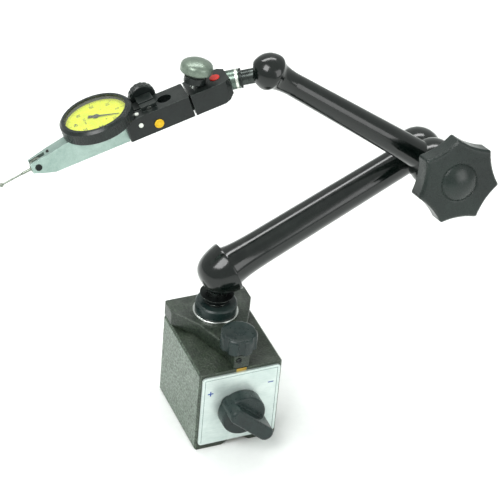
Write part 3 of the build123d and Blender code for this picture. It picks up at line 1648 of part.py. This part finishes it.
drive_x = (stylus_pivot_x + sector_ratio * sector_pivot_x) / (1 + sector_ratio)
sector_rim = (
    sector_pivot_x - sector_radius * cos(radians(sector_half_angle)),
    sector_radius * sin(radians(sector_half_angle)),
)
with BuildPart() as sector_lever:
    with BuildSketch(head_front.offset(sector_y)):
        with BuildLine():
            arc = ThreePointArc(
                (-sector_rim[0], gear_line_z - sector_rim[1]),
                (sector_radius - sector_pivot_x, gear_line_z),
                (-sector_rim[0], gear_line_z + sector_rim[1]),
            )
            Polyline(arc @ 1, gear_line(sector_pivot_x), arc @ 0)
        make_face()
        with Locations(gear_line(sector_pivot_x)):
            Circle(sector_arm_half_height)
        with Locations(gear_line((sector_pivot_x + drive_x) / 2 + 0.5)):
            Rectangle(drive_x - sector_pivot_x + 1, 2 * sector_arm_half_height)
        with Locations(gear_line(drive_x + 0.5)):
            Rectangle(2, 2 * (drive_pin_radius + running), mode=Mode.SUBTRACT)
    extrude(amount=sector_thickness)
    with BuildSketch(head_front.offset(-arbor_half_length)):
        with Locations(gear_line(sector_pivot_x)):
            Circle(arbor_radius)
    extrude(amount=2 * arbor_half_length)
write(sector_lever.part, "sector_lever")

hub_back_y = -hub_half_width
with BuildPart() as stylus_hub:
    with BuildSketch(head_front.offset(hub_back_y)):
        with Locations(gear_line(stylus_pivot_x)):
            Circle(hub_flange_radius)
        with Locations(gear_line((stylus_pivot_x + drive_x) / 2)):
            Rectangle(stylus_pivot_x - drive_x, 2 * tail_half_height)
        with Locations(gear_line(drive_x)):
            Circle(tail_half_height)
    extrude(amount=hub_flange_thickness)
    with BuildSketch(head_front.offset(hub_back_y)):
        with Locations(gear_line(drive_x)):
            Circle(drive_pin_radius)
    extrude(amount=sector_y + sector_thickness - hub_back_y)
    with BuildSketch(head_front.offset(hub_back_y)):
        with Locations(gear_line(stylus_pivot_x)):
            Circle(hub_core_radius)
    extrude(amount=2 * hub_half_width)
    with BuildSketch(head_front.offset(hub_back_y)):
        with Locations(gear_line(stylus_pivot_x)):
            Circle(pivot_tip_radius + running)
    extrude(amount=2 * hub_half_width, mode=Mode.SUBTRACT)
write(stylus_hub.part, "stylus_hub")

# the stylus's ring grips the hub's core, so it can be swung and stays where it is put
ring_back_y = hub_back_y + hub_flange_thickness + running
stylus_frame = placed(
    head,
    (stylus_pivot_x, 0, gear_line_z),
    x_dir=(cos(radians(stylus_droop)), 0, -sin(radians(stylus_droop))),
    z_dir=(0, 1, 0),
)
rod_y = (ring_back_y + hub_half_width) / 2
with BuildPart() as stylus:
    with BuildSketch(stylus_frame.offset(ring_back_y)):
        Circle(stylus_hub_radius)
    extrude(amount=hub_half_width - ring_back_y)
    rod_frame = placed(stylus_frame, (0, 0, rod_y))
    with BuildSketch(rod_frame):
        with BuildLine():
            neck_x = stylus_length - chord(stylus_ball_radius, stylus_tip_rod_radius)
            tip_x = stylus_length + stylus_ball_radius
            rod = Polyline(
                (tip_x, 0),
                (hub_core_radius + 1, 0),
                (hub_core_radius + 1, stylus_rod_radius),
                (stylus_step, stylus_rod_radius),
                (stylus_step + 1, stylus_tip_rod_radius),
                (neck_x, stylus_tip_rod_radius),
            )
            ThreePointArc(rod @ 1, (stylus_length, stylus_ball_radius), rod @ 0)
        make_face()
    revolve(axis=axis_of(rod_frame))
    with BuildSketch(stylus_frame.offset(-hub_half_width)):
        Circle(hub_core_radius + running)
    extrude(amount=2 * hub_half_width, mode=Mode.SUBTRACT)
write(stylus.part, "stylus")
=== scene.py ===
"""Looks for the dial indicator on its magnetic base: materials, the dial's printing and the plate's marks."""

import json
import math

import bpy
from mathutils import Matrix, Vector


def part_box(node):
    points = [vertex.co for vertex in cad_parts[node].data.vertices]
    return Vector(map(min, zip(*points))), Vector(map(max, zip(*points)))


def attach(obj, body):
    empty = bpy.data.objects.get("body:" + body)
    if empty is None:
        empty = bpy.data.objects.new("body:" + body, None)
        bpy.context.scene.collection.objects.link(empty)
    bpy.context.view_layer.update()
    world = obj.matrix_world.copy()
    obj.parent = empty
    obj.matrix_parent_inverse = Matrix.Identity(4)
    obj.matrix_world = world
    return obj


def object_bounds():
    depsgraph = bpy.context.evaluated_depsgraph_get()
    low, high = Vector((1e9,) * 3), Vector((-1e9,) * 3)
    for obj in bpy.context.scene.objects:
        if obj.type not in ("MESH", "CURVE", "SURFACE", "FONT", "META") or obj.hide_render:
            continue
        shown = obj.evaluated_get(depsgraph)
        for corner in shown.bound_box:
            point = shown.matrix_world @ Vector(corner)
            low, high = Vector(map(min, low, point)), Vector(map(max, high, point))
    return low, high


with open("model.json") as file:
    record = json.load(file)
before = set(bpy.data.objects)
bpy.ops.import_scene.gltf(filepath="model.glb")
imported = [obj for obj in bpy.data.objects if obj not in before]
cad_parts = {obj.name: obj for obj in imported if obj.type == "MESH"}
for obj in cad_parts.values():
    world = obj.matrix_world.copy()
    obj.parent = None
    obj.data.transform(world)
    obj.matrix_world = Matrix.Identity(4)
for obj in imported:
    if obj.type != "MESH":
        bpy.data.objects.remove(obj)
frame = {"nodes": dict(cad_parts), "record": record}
cad_low, cad_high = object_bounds()

MM = 0.001
nodes = frame["nodes"]
joints = {joint["name"]: joint for joint in frame["record"]["behaviour"]["joints"]}

# ------------------------------------------------------------------ the indicator's own axes
DIAL_CENTRE = Vector(joints["bezel_turn"]["pos_m"])
DIAL_UP = Vector(joints["bezel_turn"]["axis"])
HEAD_FRONT = Vector(joints["jaw_tilt"]["axis"])
HEAD_FORWARD = HEAD_FRONT.cross(DIAL_UP)


# ------------------------------------------------------------------ materials
def srgb(red, green, blue):
    """Linear colour of an 8-bit sRGB colour."""

    def linear(value):
        value /= 255
        return value / 12.92 if value <= 0.04045 else ((value + 0.055) / 1.055) ** 2.4

    return linear(red), linear(green), linear(blue), 1


class Graph:
    """A material's node tree, with short calls for the nodes that the finishes share."""

    def __init__(self, name):
        self.material = bpy.data.materials.new(name)
        self.material.use_nodes = True
        self.tree = self.material.node_tree
        self.shader = self.tree.nodes["Principled BSDF"]
        self.place = self.node("ShaderNodeTexCoord").outputs["Object"]

    def node(self, kind, inputs=None, **settings):
        made = self.tree.nodes.new(kind)
        for key, value in settings.items():
            setattr(made, key, value)
        for key, value in (inputs or {}).items():
            socket = made.inputs[key]
            if isinstance(value, bpy.types.NodeSocket):
                self.tree.links.new(value, socket)
            else:
                socket.default_value = value
        return made

    def noise(self, scale, detail=4, rough=0.6, place=None, distortion=0.0):
        values = {
            "Vector": place or self.place,
            "Scale": scale,
            "Detail": detail,
            "Roughness": rough,
            "Distortion": distortion,
        }
        return self.node("ShaderNodeTexNoise", values).outputs["Fac"]

    def spread(self, value, low, high, out_low=0.0, out_high=1.0):
        values = {"Value": value, "From Min": low, "From Max": high, "To Min": out_low, "To Max": out_high}
        return self.node("ShaderNodeMapRange", values).outputs["Result"]

    def mix(self, factor, first, second):
        made = self.node("ShaderNodeMix", data_type="RGBA")
        for index, value in ((0, factor), (6, first), (7, second)):
            if isinstance(value, bpy.types.NodeSocket):
                self.tree.links.new(value, made.inputs[index])
            else:
                made.inputs[index].default_value = value
        return made.outputs[2]

    def math(self, operation, first, second=0.0):
        return self.node("ShaderNodeMath", {0: first, 1: second}, operation=operation).outputs[0]

    def distance_along(self, axis):
        return self.node("ShaderNodeVectorMath", {0: self.place, 1: axis}, operation="DOT_PRODUCT").outputs["Value"]

    def facing_axis(self, letter):
        normal = self.node("ShaderNodeNewGeometry").outputs["Normal"]
        return self.node("ShaderNodeSeparateXYZ", {0: normal}).outputs[letter]

    def stretched(self, scale):
        return self.node("ShaderNodeMapping", {"Vector": self.place, "Scale": scale}).outputs["Vector"]

    def set(self, **values):
        for key, value in values.items():
            socket = self.shader.inputs[key.replace("_", " ")]
            if isinstance(value, bpy.types.NodeSocket):
                self.tree.links.new(value, socket)
            else:
                socket.default_value = value


DUST = srgb(176, 182, 172)
STEEL_WEAR = srgb(150, 156, 150)
SCRATCH_STRETCH = (1.0, 9.0, 14.0)
BEVEL_SAMPLES = 6


def finish(
    name,
    dark,
    light,
    patch=60,
    rough=(0.3, 0.45),
    rough_scale=220,
    metallic=0.0,
    coat=0.0,
    coat_rough=0.1,
    grain=900,
    grain_depth=0.01,
    dimples=None,
    dimple_depth=0.0,
    lay=None,
    edge=0.3,
    wear=None,
    wear_amount=0.0,
    wear_width=0.35,
    thread=None,
    dust=0.0,
    specular=0.5,
    painted_light_sides=None,
    band=None,
):
    """A finish with patchy colour and gloss, a fine grain, softened edges and rubbed-off edges.

    Noise scales are per metre. Depths, edge and wear_width are in millimetres. The side colours are
    painted light: a paler pair laid on faces that look along X, for flanks that catch more light. lay
    stretches the grain, and thread and band follow an axis.
    """
    g = Graph(name)
    place = g.stretched(lay) if lay else g.place
    tone = g.spread(g.noise(patch, 5, 0.65, distortion=0.4), 0.32, 0.68)
    speckle = g.spread(g.noise(grain * 0.7, 3, 0.7, place), 0.3, 0.7)
    tone = g.math("ADD", g.math("MULTIPLY", tone, 0.65), g.math("MULTIPLY", speckle, 0.35))
    colour = g.mix(tone, dark, light)
    # painted light: faces that look along X fade to the paler side colours, standing in for lit flanks
    if painted_light_sides:
        lit_flank_mask = g.spread(g.math("ABSOLUTE", g.facing_axis("X")), 0.6, 0.9)
        colour = g.mix(lit_flank_mask, colour, g.mix(tone, *painted_light_sides))
    if band:
        axis, start, end, print_colour = band
        along = g.distance_along(axis)
        inside = g.math("MULTIPLY", g.math("GREATER_THAN", along, start), g.math("LESS_THAN", along, end))
        colour = g.mix(inside, colour, print_colour)
    gloss = g.spread(g.noise(rough_scale, 4, 0.6, place), 0.3, 0.7, *rough)

    rounded = g.node("ShaderNodeBevel", {"Radius": edge * MM}, samples=BEVEL_SAMPLES).outputs["Normal"]
    height = g.noise(grain, 4, 0.7, place)
    if dimples:
        cell = g.node(
            "ShaderNodeTexVoronoi", {"Vector": g.place, "Scale": dimples}, feature="SMOOTH_F1"
        ).outputs["Distance"]
        swell = g.node("ShaderNodeBump", {"Height": cell, "Distance": dimple_depth * MM, "Normal": rounded})
        rounded = swell.outputs["Normal"]
        colour = g.mix(g.spread(cell, 0.1, 0.75), colour, dark)
    if thread:
        axis, pitch = thread
        ridge = g.math("PINGPONG", g.distance_along(axis), pitch * MM / 2)
        cut = g.node("ShaderNodeBump", {"Height": ridge, "Distance": 1.0, "Normal": rounded})
        rounded = cut.outputs["Normal"]
    bump = g.node("ShaderNodeBump", {"Height": height, "Distance": grain_depth * MM, "Normal": rounded})

    if wear:
        wide = g.node("ShaderNodeBevel", {"Radius": wear_width * MM}, samples=BEVEL_SAMPLES).outputs["Normal"]
        true = g.node("ShaderNodeNewGeometry").outputs["Normal"]
        turn = g.node("ShaderNodeVectorMath", {0: wide, 1: true}, operation="DOT_PRODUCT").outputs["Value"]
        rubbed = g.spread(turn, 0.97, 0.85)
        chips = g.spread(g.noise(420, 6, 0.75), 0.42, 0.58)
        rubbed = g.math("MULTIPLY", g.math("MULTIPLY", rubbed, chips), wear_amount)
        scratches = g.noise(90, 8, 0.8, g.stretched(SCRATCH_STRETCH))
        rubbed = g.math("ADD", rubbed, g.spread(scratches, 0.72, 0.78, 0, wear_amount * 0.5))
        colour = g.mix(rubbed, colour, wear)
    if dust:
        level = g.spread(g.facing_axis("Z"), 0.4, 1.0)
        settled = g.math("MULTIPLY", level, g.spread(g.noise(150, 6), 0.4, 0.75))
        colour = g.mix(g.math("MULTIPLY", settled, dust), colour, DUST)
    g.set(
        Base_Color=colour,
        Roughness=gloss,
        Metallic=metallic,
        Coat_Weight=coat,
        Coat_Roughness=coat_rough,
        Specular_IOR_Level=specular,
        Normal=bump.outputs["Normal"],
    )
    return g.material


# the paler side colours of this paint are painted light on the X-facing flanks of the base, not a second paint
paint = finish(
    "hammered_paint", srgb(26, 34, 26), srgb(62, 76, 58), patch=130, rough=(0.3, 0.5), rough_scale=500,
    coat=0.2, coat_rough=0.3, grain=1500, dimples=900, dimple_depth=0.25, edge=0.8, specular=0.35,
    wear=srgb(128, 140, 124), wear_amount=0.6, wear_width=0.6, dust=0.06,
    painted_light_sides=(srgb(104, 122, 106), srgb(142, 160, 144)),
)

brass_strip = finish(
    "spacer_brass", srgb(150, 118, 50), srgb(206, 172, 92), patch=120, rough=(0.3, 0.5), metallic=1.0,
    lay=(1, 0.08, 1), grain=1400, grain_depth=0.02, edge=0.2,
)
rear_paint = finish(
    "rear_cover", srgb(52, 60, 54), srgb(84, 96, 86), patch=110, rough=(0.35, 0.55), grain=1600,
    dimples=760, dimple_depth=0.3, edge=0.4, wear=STEEL_WEAR, wear_amount=0.5,
)
plate = finish(
    "front_plate", srgb(190, 206, 202), srgb(226, 236, 232), patch=70, rough=(0.3, 0.45), rough_scale=700,
    metallic=0.55, lay=(0.06, 1, 1), grain=2600, grain_depth=0.012, edge=0.25,
    wear=srgb(120, 132, 130), wear_amount=0.35,
)
plain_steel = finish(
    "plain_steel", srgb(120, 124, 120), srgb(188, 194, 190), patch=200, rough=(0.25, 0.45), metallic=1.0,
    lay=(1, 1, 0.15), grain=2200, grain_depth=0.02, edge=0.2,
)
magnet = finish(
    "magnet", srgb(52, 52, 54), srgb(86, 86, 88), patch=180, rough=(0.4, 0.6), metallic=0.6, grain=1800,
)
knob_black = finish(
    "knob_black", srgb(10, 22, 22), srgb(28, 46, 44), patch=100, rough=(0.24, 0.42), rough_scale=600,
    grain=1900, grain_depth=0.02, edge=0.9, wear=srgb(84, 104, 98), wear_amount=0.3, dust=0.05, specular=0.4,
)
star_black = finish(
    "star_knob_black", srgb(10, 17, 16), srgb(26, 38, 34), patch=45, rough=(0.2, 0.38), rough_scale=350,
    coat=0.12, coat_rough=0.25, grain=2300, grain_depth=0.018, edge=2.2, specular=0.4,
    wear=srgb(74, 90, 82), wear_amount=0.25, wear_width=1.6, dust=0.03,
)
lever_paint = finish(
    "lever_paint", srgb(24, 32, 26), srgb(58, 72, 56), patch=110, rough=(0.3, 0.5), rough_scale=450,
    coat=0.25, coat_rough=0.25, grain=1500, dimples=900, dimple_depth=0.22, edge=1.0, specular=0.35,
    wear=srgb(132, 144, 128), wear_amount=0.6, wear_width=0.7, dust=0.08,
)
bright_steel = finish(
    "bright_steel", srgb(168, 172, 168), srgb(226, 230, 226), patch=160, rough=(0.12, 0.28), metallic=1.0,
    lay=(1, 1, 0.2), grain=2400, grain_depth=0.01, edge=0.25,
)
black_oxide = finish(
    "black_oxide", srgb(24, 27, 27), srgb(52, 57, 55), patch=200, rough=(0.28, 0.45), metallic=0.85,
    grain=2000, grain_depth=0.02, edge=0.3, wear=STEEL_WEAR, wear_amount=0.5,
)
arm_black = finish(
    "arm_black", srgb(3, 7, 6), srgb(11, 19, 16), patch=24, rough=(0.12, 0.24), rough_scale=160,
    coat=0.35, coat_rough=0.08, grain=1300, grain_depth=0.012, edge=0.6, specular=0.35,
    wear=srgb(96, 108, 100), wear_amount=0.3, wear_width=0.5, dust=0.02,
)
rod_steel = finish(
    "rod_steel", srgb(90, 94, 92), srgb(150, 156, 152), patch=150, rough=(0.25, 0.4), metallic=1.0,
    lay=(0.3, 1, 1), grain=1900, grain_depth=0.02,
)
white_plastic = finish(
    "white_plastic", srgb(205, 212, 202), srgb(238, 242, 234), patch=160, rough=(0.35, 0.5), grain=1600,
    grain_depth=0.012, edge=0.25,
)
sleeve_grey = finish(
    "sleeve_grey", srgb(40, 44, 43), srgb(72, 78, 76), patch=140, rough=(0.3, 0.45), metallic=0.6,
    grain=1700, edge=0.5, wear=STEEL_WEAR, wear_amount=0.4,
)
head_black = finish(
    "head_black", srgb(6, 11, 11), srgb(22, 30, 28), patch=110, rough=(0.26, 0.44), rough_scale=500,
    coat=0.12, coat_rough=0.25, grain=2100, grain_depth=0.02, edge=0.35, specular=0.35,
    wear=srgb(120, 134, 126), wear_amount=0.55, wear_width=0.35, dust=0.04,
)
red_plastic = finish(
    "red_plastic", srgb(176, 22, 16), srgb(222, 48, 34), patch=220, rough=(0.25, 0.4), grain=1800, edge=0.25,
)
knob_grey = finish(
    "knob_grey", srgb(74, 88, 78), srgb(124, 138, 124), patch=110, rough=(0.26, 0.42), rough_scale=450,
    metallic=0.5, coat=0.2, coat_rough=0.2, grain=1900, grain_depth=0.015, edge=0.8,
    wear=srgb(168, 180, 168), wear_amount=0.4, wear_width=0.6, dust=0.05,
)
brass = finish(
    "brass_bright", srgb(196, 150, 30), srgb(240, 204, 70), patch=260, rough=(0.18, 0.32), metallic=1.0,
    grain=2200, edge=0.2,
)
body_silver = finish(
    "body_silver", srgb(138, 162, 154), srgb(186, 206, 198), patch=90, rough=(0.3, 0.44), rough_scale=600,
    metallic=0.8, grain=2800, grain_depth=0.014, edge=0.3, wear=srgb(220, 230, 224), wear_amount=0.4,
)
bezel_black = finish(
    "bezel_black", srgb(6, 12, 11), srgb(22, 32, 29), patch=150, rough=(0.24, 0.38), rough_scale=500,
    coat=0.12, coat_rough=0.2, grain=2200, grain_depth=0.015, edge=0.4, specular=0.4,
    wear=srgb(104, 118, 110), wear_amount=0.4, wear_width=0.3,
)
dial_yellow = finish(
    "dial_yellow", srgb(186, 200, 0), srgb(214, 222, 10), patch=130, rough=(0.5, 0.65), grain=2600,
    grain_depth=0.006, edge=0.05, specular=0.3,
)
stylus_steel = finish(
    "stylus_steel", srgb(92, 100, 90), srgb(150, 158, 146), patch=300, rough=(0.2, 0.35), metallic=0.9,
    grain=2600, grain_depth=0.006, edge=0.1,
)
print_black = finish(
    "print_black", srgb(16, 18, 14), srgb(34, 38, 26), patch=400, rough=(0.5, 0.7), grain=3000, edge=0.01,
)
print_blue = finish(
    "print_blue", srgb(20, 52, 132), srgb(42, 84, 168), patch=300, rough=(0.4, 0.6), grain=2800, edge=0.01,
)
print_grey = finish(
    "print_grey", srgb(96, 116, 116), srgb(132, 150, 148), patch=300, rough=(0.4, 0.6), grain=2800, edge=0.01,
)
adjust_thread = finish(
    "adjust_thread", srgb(60, 64, 62), srgb(128, 134, 130), patch=260, rough=(0.25, 0.4), metallic=1.0,
    grain=2200, thread=((0, 0, 1), 0.8),
)
stud_steel = finish(
    "stud_steel", srgb(30, 34, 33), srgb(84, 90, 87), patch=180, rough=(0.2, 0.35), metallic=0.9,
    grain=2000, edge=0.3, wear=STEEL_WEAR, wear_amount=0.6,
)
neck_axis = Vector(joints["head_spin"]["axis"])
neck_reach = [Vector(v.co).dot(neck_axis) for v in nodes["neck_sleeve"].data.vertices]
neck_finish = finish(
    "neck_sleeve", srgb(70, 84, 76), srgb(128, 144, 134), patch=150, rough=(0.2, 0.36), rough_scale=600,
    metallic=0.85, grain=2000, grain_depth=0.015, edge=0.4,
    band=(neck_axis, min(neck_reach) + 0.6 * MM, min(neck_reach) + 1.9 * MM, srgb(232, 236, 226)),
)
clear = Graph("crystal_clear")
clear.set(
    Base_Color=clear.mix(clear.noise(120), srgb(238, 244, 232), srgb(250, 252, 246)),
    Roughness=clear.spread(clear.noise(90, 6), 0.35, 0.7, 0.02, 0.09),
    Alpha=0.06,
    Specular_IOR_Level=0.9,
    Coat_Weight=1.0,
    Coat_Roughness=0.02,
    Normal=clear.node(
        "ShaderNodeBump", {"Height": clear.noise(60, 2), "Distance": 0.02 * MM}
    ).outputs["Normal"],
)
crystal_clear = clear.material

FINISHES = {
    "left_pole": paint,
    "right_pole": paint,
    "pole_spacer": brass_strip,
    "rear_cover": rear_paint,
    "base_screws": bright_steel,
    "front_plate": plate,
    "hinge_block": lever_paint,
    "rotary_magnet": magnet,
    "rotor_segments": plain_steel,
    "switch_shaft": plain_steel,
    "switch_knob": knob_black,
    "adjust_lever": lever_paint,
    "hinge_pin": bright_steel,
    "stop_screw": black_oxide,
    "stud_washer": bright_steel,
    "stud_collar": knob_black,
    "base_ball_stud": stud_steel,
    "base_shoe": black_oxide,
    "base_adjust_screw": adjust_thread,
    "base_adjust_knob": knob_black,
    "lower_swivel_ring": black_oxide,
    "lower_arm": arm_black,
    "friction_washer": white_plastic,
    "clamp_bolt": rod_steel,
    "lower_push_rod": rod_steel,
    "lower_ball_seat": rod_steel,
    "upper_arm": arm_black,
    "wedge_sleeve": sleeve_grey,
    "upper_push_rod": rod_steel,
    "upper_ball_seat": rod_steel,
    "star_knob": star_black,
    "knob_insert": brass,
    "knob_cap": star_black,
    "upper_swivel_ring": black_oxide,
    "head_ball_stud": stud_steel,
    "neck_sleeve": neck_finish,
    "head_block": head_black,
    "red_plug": red_plastic,
    "jaw_pin": bright_steel,
    "head_shoe": brass,
    "head_adjust_screw": bright_steel,
    "head_adjust_knob": knob_grey,
    "stem_jaw": head_black,
    "brass_plug": brass,
    "white_pins": white_plastic,
    "indicator_body": body_silver,
    "indicator_cover": body_silver,
    "top_screw": black_oxide,
    "pivot_screws": black_oxide,
    "clamp_screw": bright_steel,
    "clamp_knob": head_black,
    "bezel": bezel_black,
    "crystal": crystal_clear,
    "dial_face": dial_yellow,
    "dial_rim": print_black,
    "pointer": print_black,
    "crown_wheel": brass,
    "sector_lever": plain_steel,
    "stylus_hub": black_oxide,
    "stylus": stylus_steel,
}
for node_name, material in FINISHES.items():
    mesh = nodes[node_name].data
    mesh.materials.clear()
    mesh.materials.append(material)


# ------------------------------------------------------------------ pieces made here
def facing(origin, right, up):
    """The matrix of a flat piece that lies at origin and reads along right, with its top towards up."""
    outward = right.cross(up)
    return Matrix.Translation(origin) @ Matrix((right, up, outward)).transposed().to_4x4()


def add(name, data, place, material, body):
    piece = bpy.data.objects.new(name, data)
    bpy.context.scene.collection.objects.link(piece)
    piece.data.materials.append(material)
    piece.matrix_world = place
    bpy.context.view_layer.update()
    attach(piece, body)


def raised(name, outlines, thickness, place, material, body):
    """Closed flat outlines in millimetres, filled and raised by thickness."""
    points, faces = [], []
    for outline in outlines:
        first, count = len(points), len(outline)
        points += [(x * MM, y * MM, 0) for x, y in outline]
        points += [(x * MM, y * MM, thickness * MM) for x, y in outline]
        faces.append([first + count + i for i in range(count)])
        faces.append([first + i for i in reversed(range(count))])
        for i in range(count):
            j = (i + 1) % count
            faces.append([first + i, first + j, first + count + j, first + count + i])
    mesh = bpy.data.meshes.new(name)
    mesh.from_pydata(points, [], faces)
    mesh.update()
    add(name, mesh, place, material, body)


def bar(x0, y0, x1, y1):
    """A rectangle's corners."""
    return [(x0, y0), (x1, y0), (x1, y1), (x0, y1)]


# the dial's printing: 80 divisions a turn, numbered both ways from zero
DIVISIONS = 80
TICK_OUTER = 16.7
TICK_SIZES = {10: (2.9, 0.2), 5: (2.2, 0.15), 1: (1.5, 0.11)}  # length and width at each tenth, fifth and other
NUMBER_RADIUS = 11.9
NUMBER_SIZE = 3.1
NUMBER_WEIGHT = 0.03
UNITS_SIZE = 1.9
UNITS_DROP = 6.4
SIGN_SIZE = 3.0
SIGN_ASIDE = 6.0
SIGN_RISE = 4.2
PRINT_DEPTH = 0.03
face_top = max((Vector(v.co) - DIAL_CENTRE).dot(DIAL_UP) for v in nodes["dial_face"].data.vertices)
dial = facing(DIAL_CENTRE + DIAL_UP * face_top, HEAD_FRONT, -HEAD_FORWARD)


def dial_print(name, words, size, x, y, weight=0.0):
    """Print on the dial, centred on (x, y) in millimetres from the dial's centre."""
    text = bpy.data.curves.new(name, "FONT")
    text.body = words
    text.size = size * MM
    text.extrude = PRINT_DEPTH * MM
    text.offset = weight * MM
    text.align_x = "CENTER"
    text.align_y = "CENTER"
    add(name, text, dial @ Matrix.Translation((x * MM, y * MM, 0)), print_black, "bezel")


ticks = []
for step in range(DIVISIONS):
    length, width = TICK_SIZES[next(size for size in TICK_SIZES if step % size == 0)]
    turn = 2 * math.pi * step / DIVISIONS
    out = Vector((math.sin(turn), math.cos(turn)))
    side = Vector((out.y, -out.x)) * width / 2
    corners = (out * TICK_OUTER - side, out * (TICK_OUTER - length) - side,
               out * (TICK_OUTER - length) + side, out * TICK_OUTER + side)
    ticks.append([(c.x, c.y) for c in corners])
raised("dial_graduations", ticks, PRINT_DEPTH, dial, print_black, "bezel")
for step in range(0, DIVISIONS, 10):
    turn = 2 * math.pi * step / DIVISIONS
    dial_print(
        f"dial_number_{step}", str(min(step, DIVISIONS - step)), NUMBER_SIZE,
        NUMBER_RADIUS * math.sin(turn), NUMBER_RADIUS * math.cos(turn), NUMBER_WEIGHT,
    )
dial_print("dial_units", "0.01 mm", UNITS_SIZE, 0, -UNITS_DROP)
dial_print("dial_minus", "-", SIGN_SIZE, -SIGN_ASIDE, SIGN_RISE)
dial_print("dial_plus", "+", SIGN_SIZE, SIGN_ASIDE, SIGN_RISE)

# the front plate's printed border and its on and off marks
plate_low, plate_high = (Vector(corner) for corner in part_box("front_plate"))
plate_middle = (plate_low + plate_high) / 2
plate_front = Vector((plate_middle.x, plate_low.y, plate_middle.z))
plate_place = facing(plate_front, Vector((1, 0, 0)), Vector((0, 0, 1)))
half_wide = (plate_high.x - plate_low.x) / MM / 2
half_tall = (plate_high.z - plate_low.z) / MM / 2
BORDER_INSET, BORDER_LINE, BORDER_DEPTH = 1.5, 0.3, 0.04
edge_x, edge_y = half_wide - BORDER_INSET, half_tall - BORDER_INSET
border = [
    bar(-edge_x, edge_y - BORDER_LINE, edge_x, edge_y),
    bar(-edge_x, -edge_y, -edge_x + BORDER_LINE, edge_y - BORDER_LINE),
    bar(edge_x - BORDER_LINE, -edge_y, edge_x, edge_y - BORDER_LINE),
]
raised("plate_border", border, BORDER_DEPTH, plate_place, print_grey, "base")
MARK_X, MARK_Z, MARK_HALF, MARK_LINE, MARK_DEPTH = 18.3, 13.0, 1.7, 0.35, 0.05
plus = [
    (-MARK_LINE, -MARK_HALF), (MARK_LINE, -MARK_HALF), (MARK_LINE, -MARK_LINE), (MARK_HALF, -MARK_LINE),
    (MARK_HALF, MARK_LINE), (MARK_LINE, MARK_LINE), (MARK_LINE, MARK_HALF), (-MARK_LINE, MARK_HALF),
    (-MARK_LINE, MARK_LINE), (-MARK_HALF, MARK_LINE), (-MARK_HALF, -MARK_LINE), (-MARK_LINE, -MARK_LINE),
]
plus = [(x - MARK_X, y + MARK_Z) for x, y in plus]
minus = bar(MARK_X - MARK_HALF, MARK_Z - MARK_LINE, MARK_X + MARK_HALF, MARK_Z + MARK_LINE)
raised("plate_plus", [plus], MARK_DEPTH, plate_place, print_blue, "base")
raised("plate_minus", [minus], MARK_DEPTH, plate_place, print_blue, "base")

# ------------------------------------------------------------------ floor, light and camera
floor_mesh = bpy.data.meshes.new("floor")
FLOOR = 4.0
corners = [(-FLOOR, -FLOOR, 0), (FLOOR, -FLOOR, 0), (FLOOR, FLOOR, 0), (-FLOOR, FLOOR, 0)]
floor_mesh.from_pydata(corners, [], [(0, 1, 2, 3)])
floor = bpy.data.objects.new("floor", floor_mesh)
floor.location.z = cad_low.z
bpy.context.scene.collection.objects.link(floor)
floor_mesh.materials.append(
    finish("floor_paper", srgb(236, 238, 236), srgb(246, 248, 246), patch=3, rough=(0.7, 0.85), grain=300,
           grain_depth=0.02, edge=0.01)
)


def softbox(name, location, target, width, height, power):
    data = bpy.data.lights.new(name, "AREA")
    data.shape = "RECTANGLE"
    data.size, data.size_y = width, height
    data.energy = power
    light = bpy.data.objects.new(name, data)
    bpy.context.scene.collection.objects.link(light)
    light.location = location
    light.rotation_euler = (Vector(target) - Vector(location)).to_track_quat("-Z", "Y").to_euler()


CENTRE = (0.0, 0.0, 0.13)
softbox("key", (-0.9, -0.5, 1.3), CENTRE, 0.8, 0.8, 16)
softbox("front_fill", (0.7, -1.3, 0.7), CENTRE, 0.9, 0.9, 7)
softbox("top_strip", (0.1, 0.5, 1.2), CENTRE, 1.2, 0.25, 9)
bpy.context.scene.view_settings.view_transform = "Standard"
world = bpy.data.worlds.new("studio")
world.use_nodes = True
world.node_tree.nodes["Background"].inputs["Color"].default_value = (0.93, 0.97, 0.95, 1)
world.node_tree.nodes["Background"].inputs["Strength"].default_value = 0.7
bpy.context.scene.world = world

camera_data = bpy.data.cameras.new("camera")
camera_data.sensor_width = 36
camera_data.lens = 158.4
camera = bpy.data.objects.new("camera", camera_data)
camera.location = (-0.4104, -0.8810, 0.8462)
camera.rotation_euler = (math.radians(53.03), math.radians(-4.295), math.radians(-22.41))
bpy.context.scene.collection.objects.link(camera)
bpy.context.scene.camera = camera
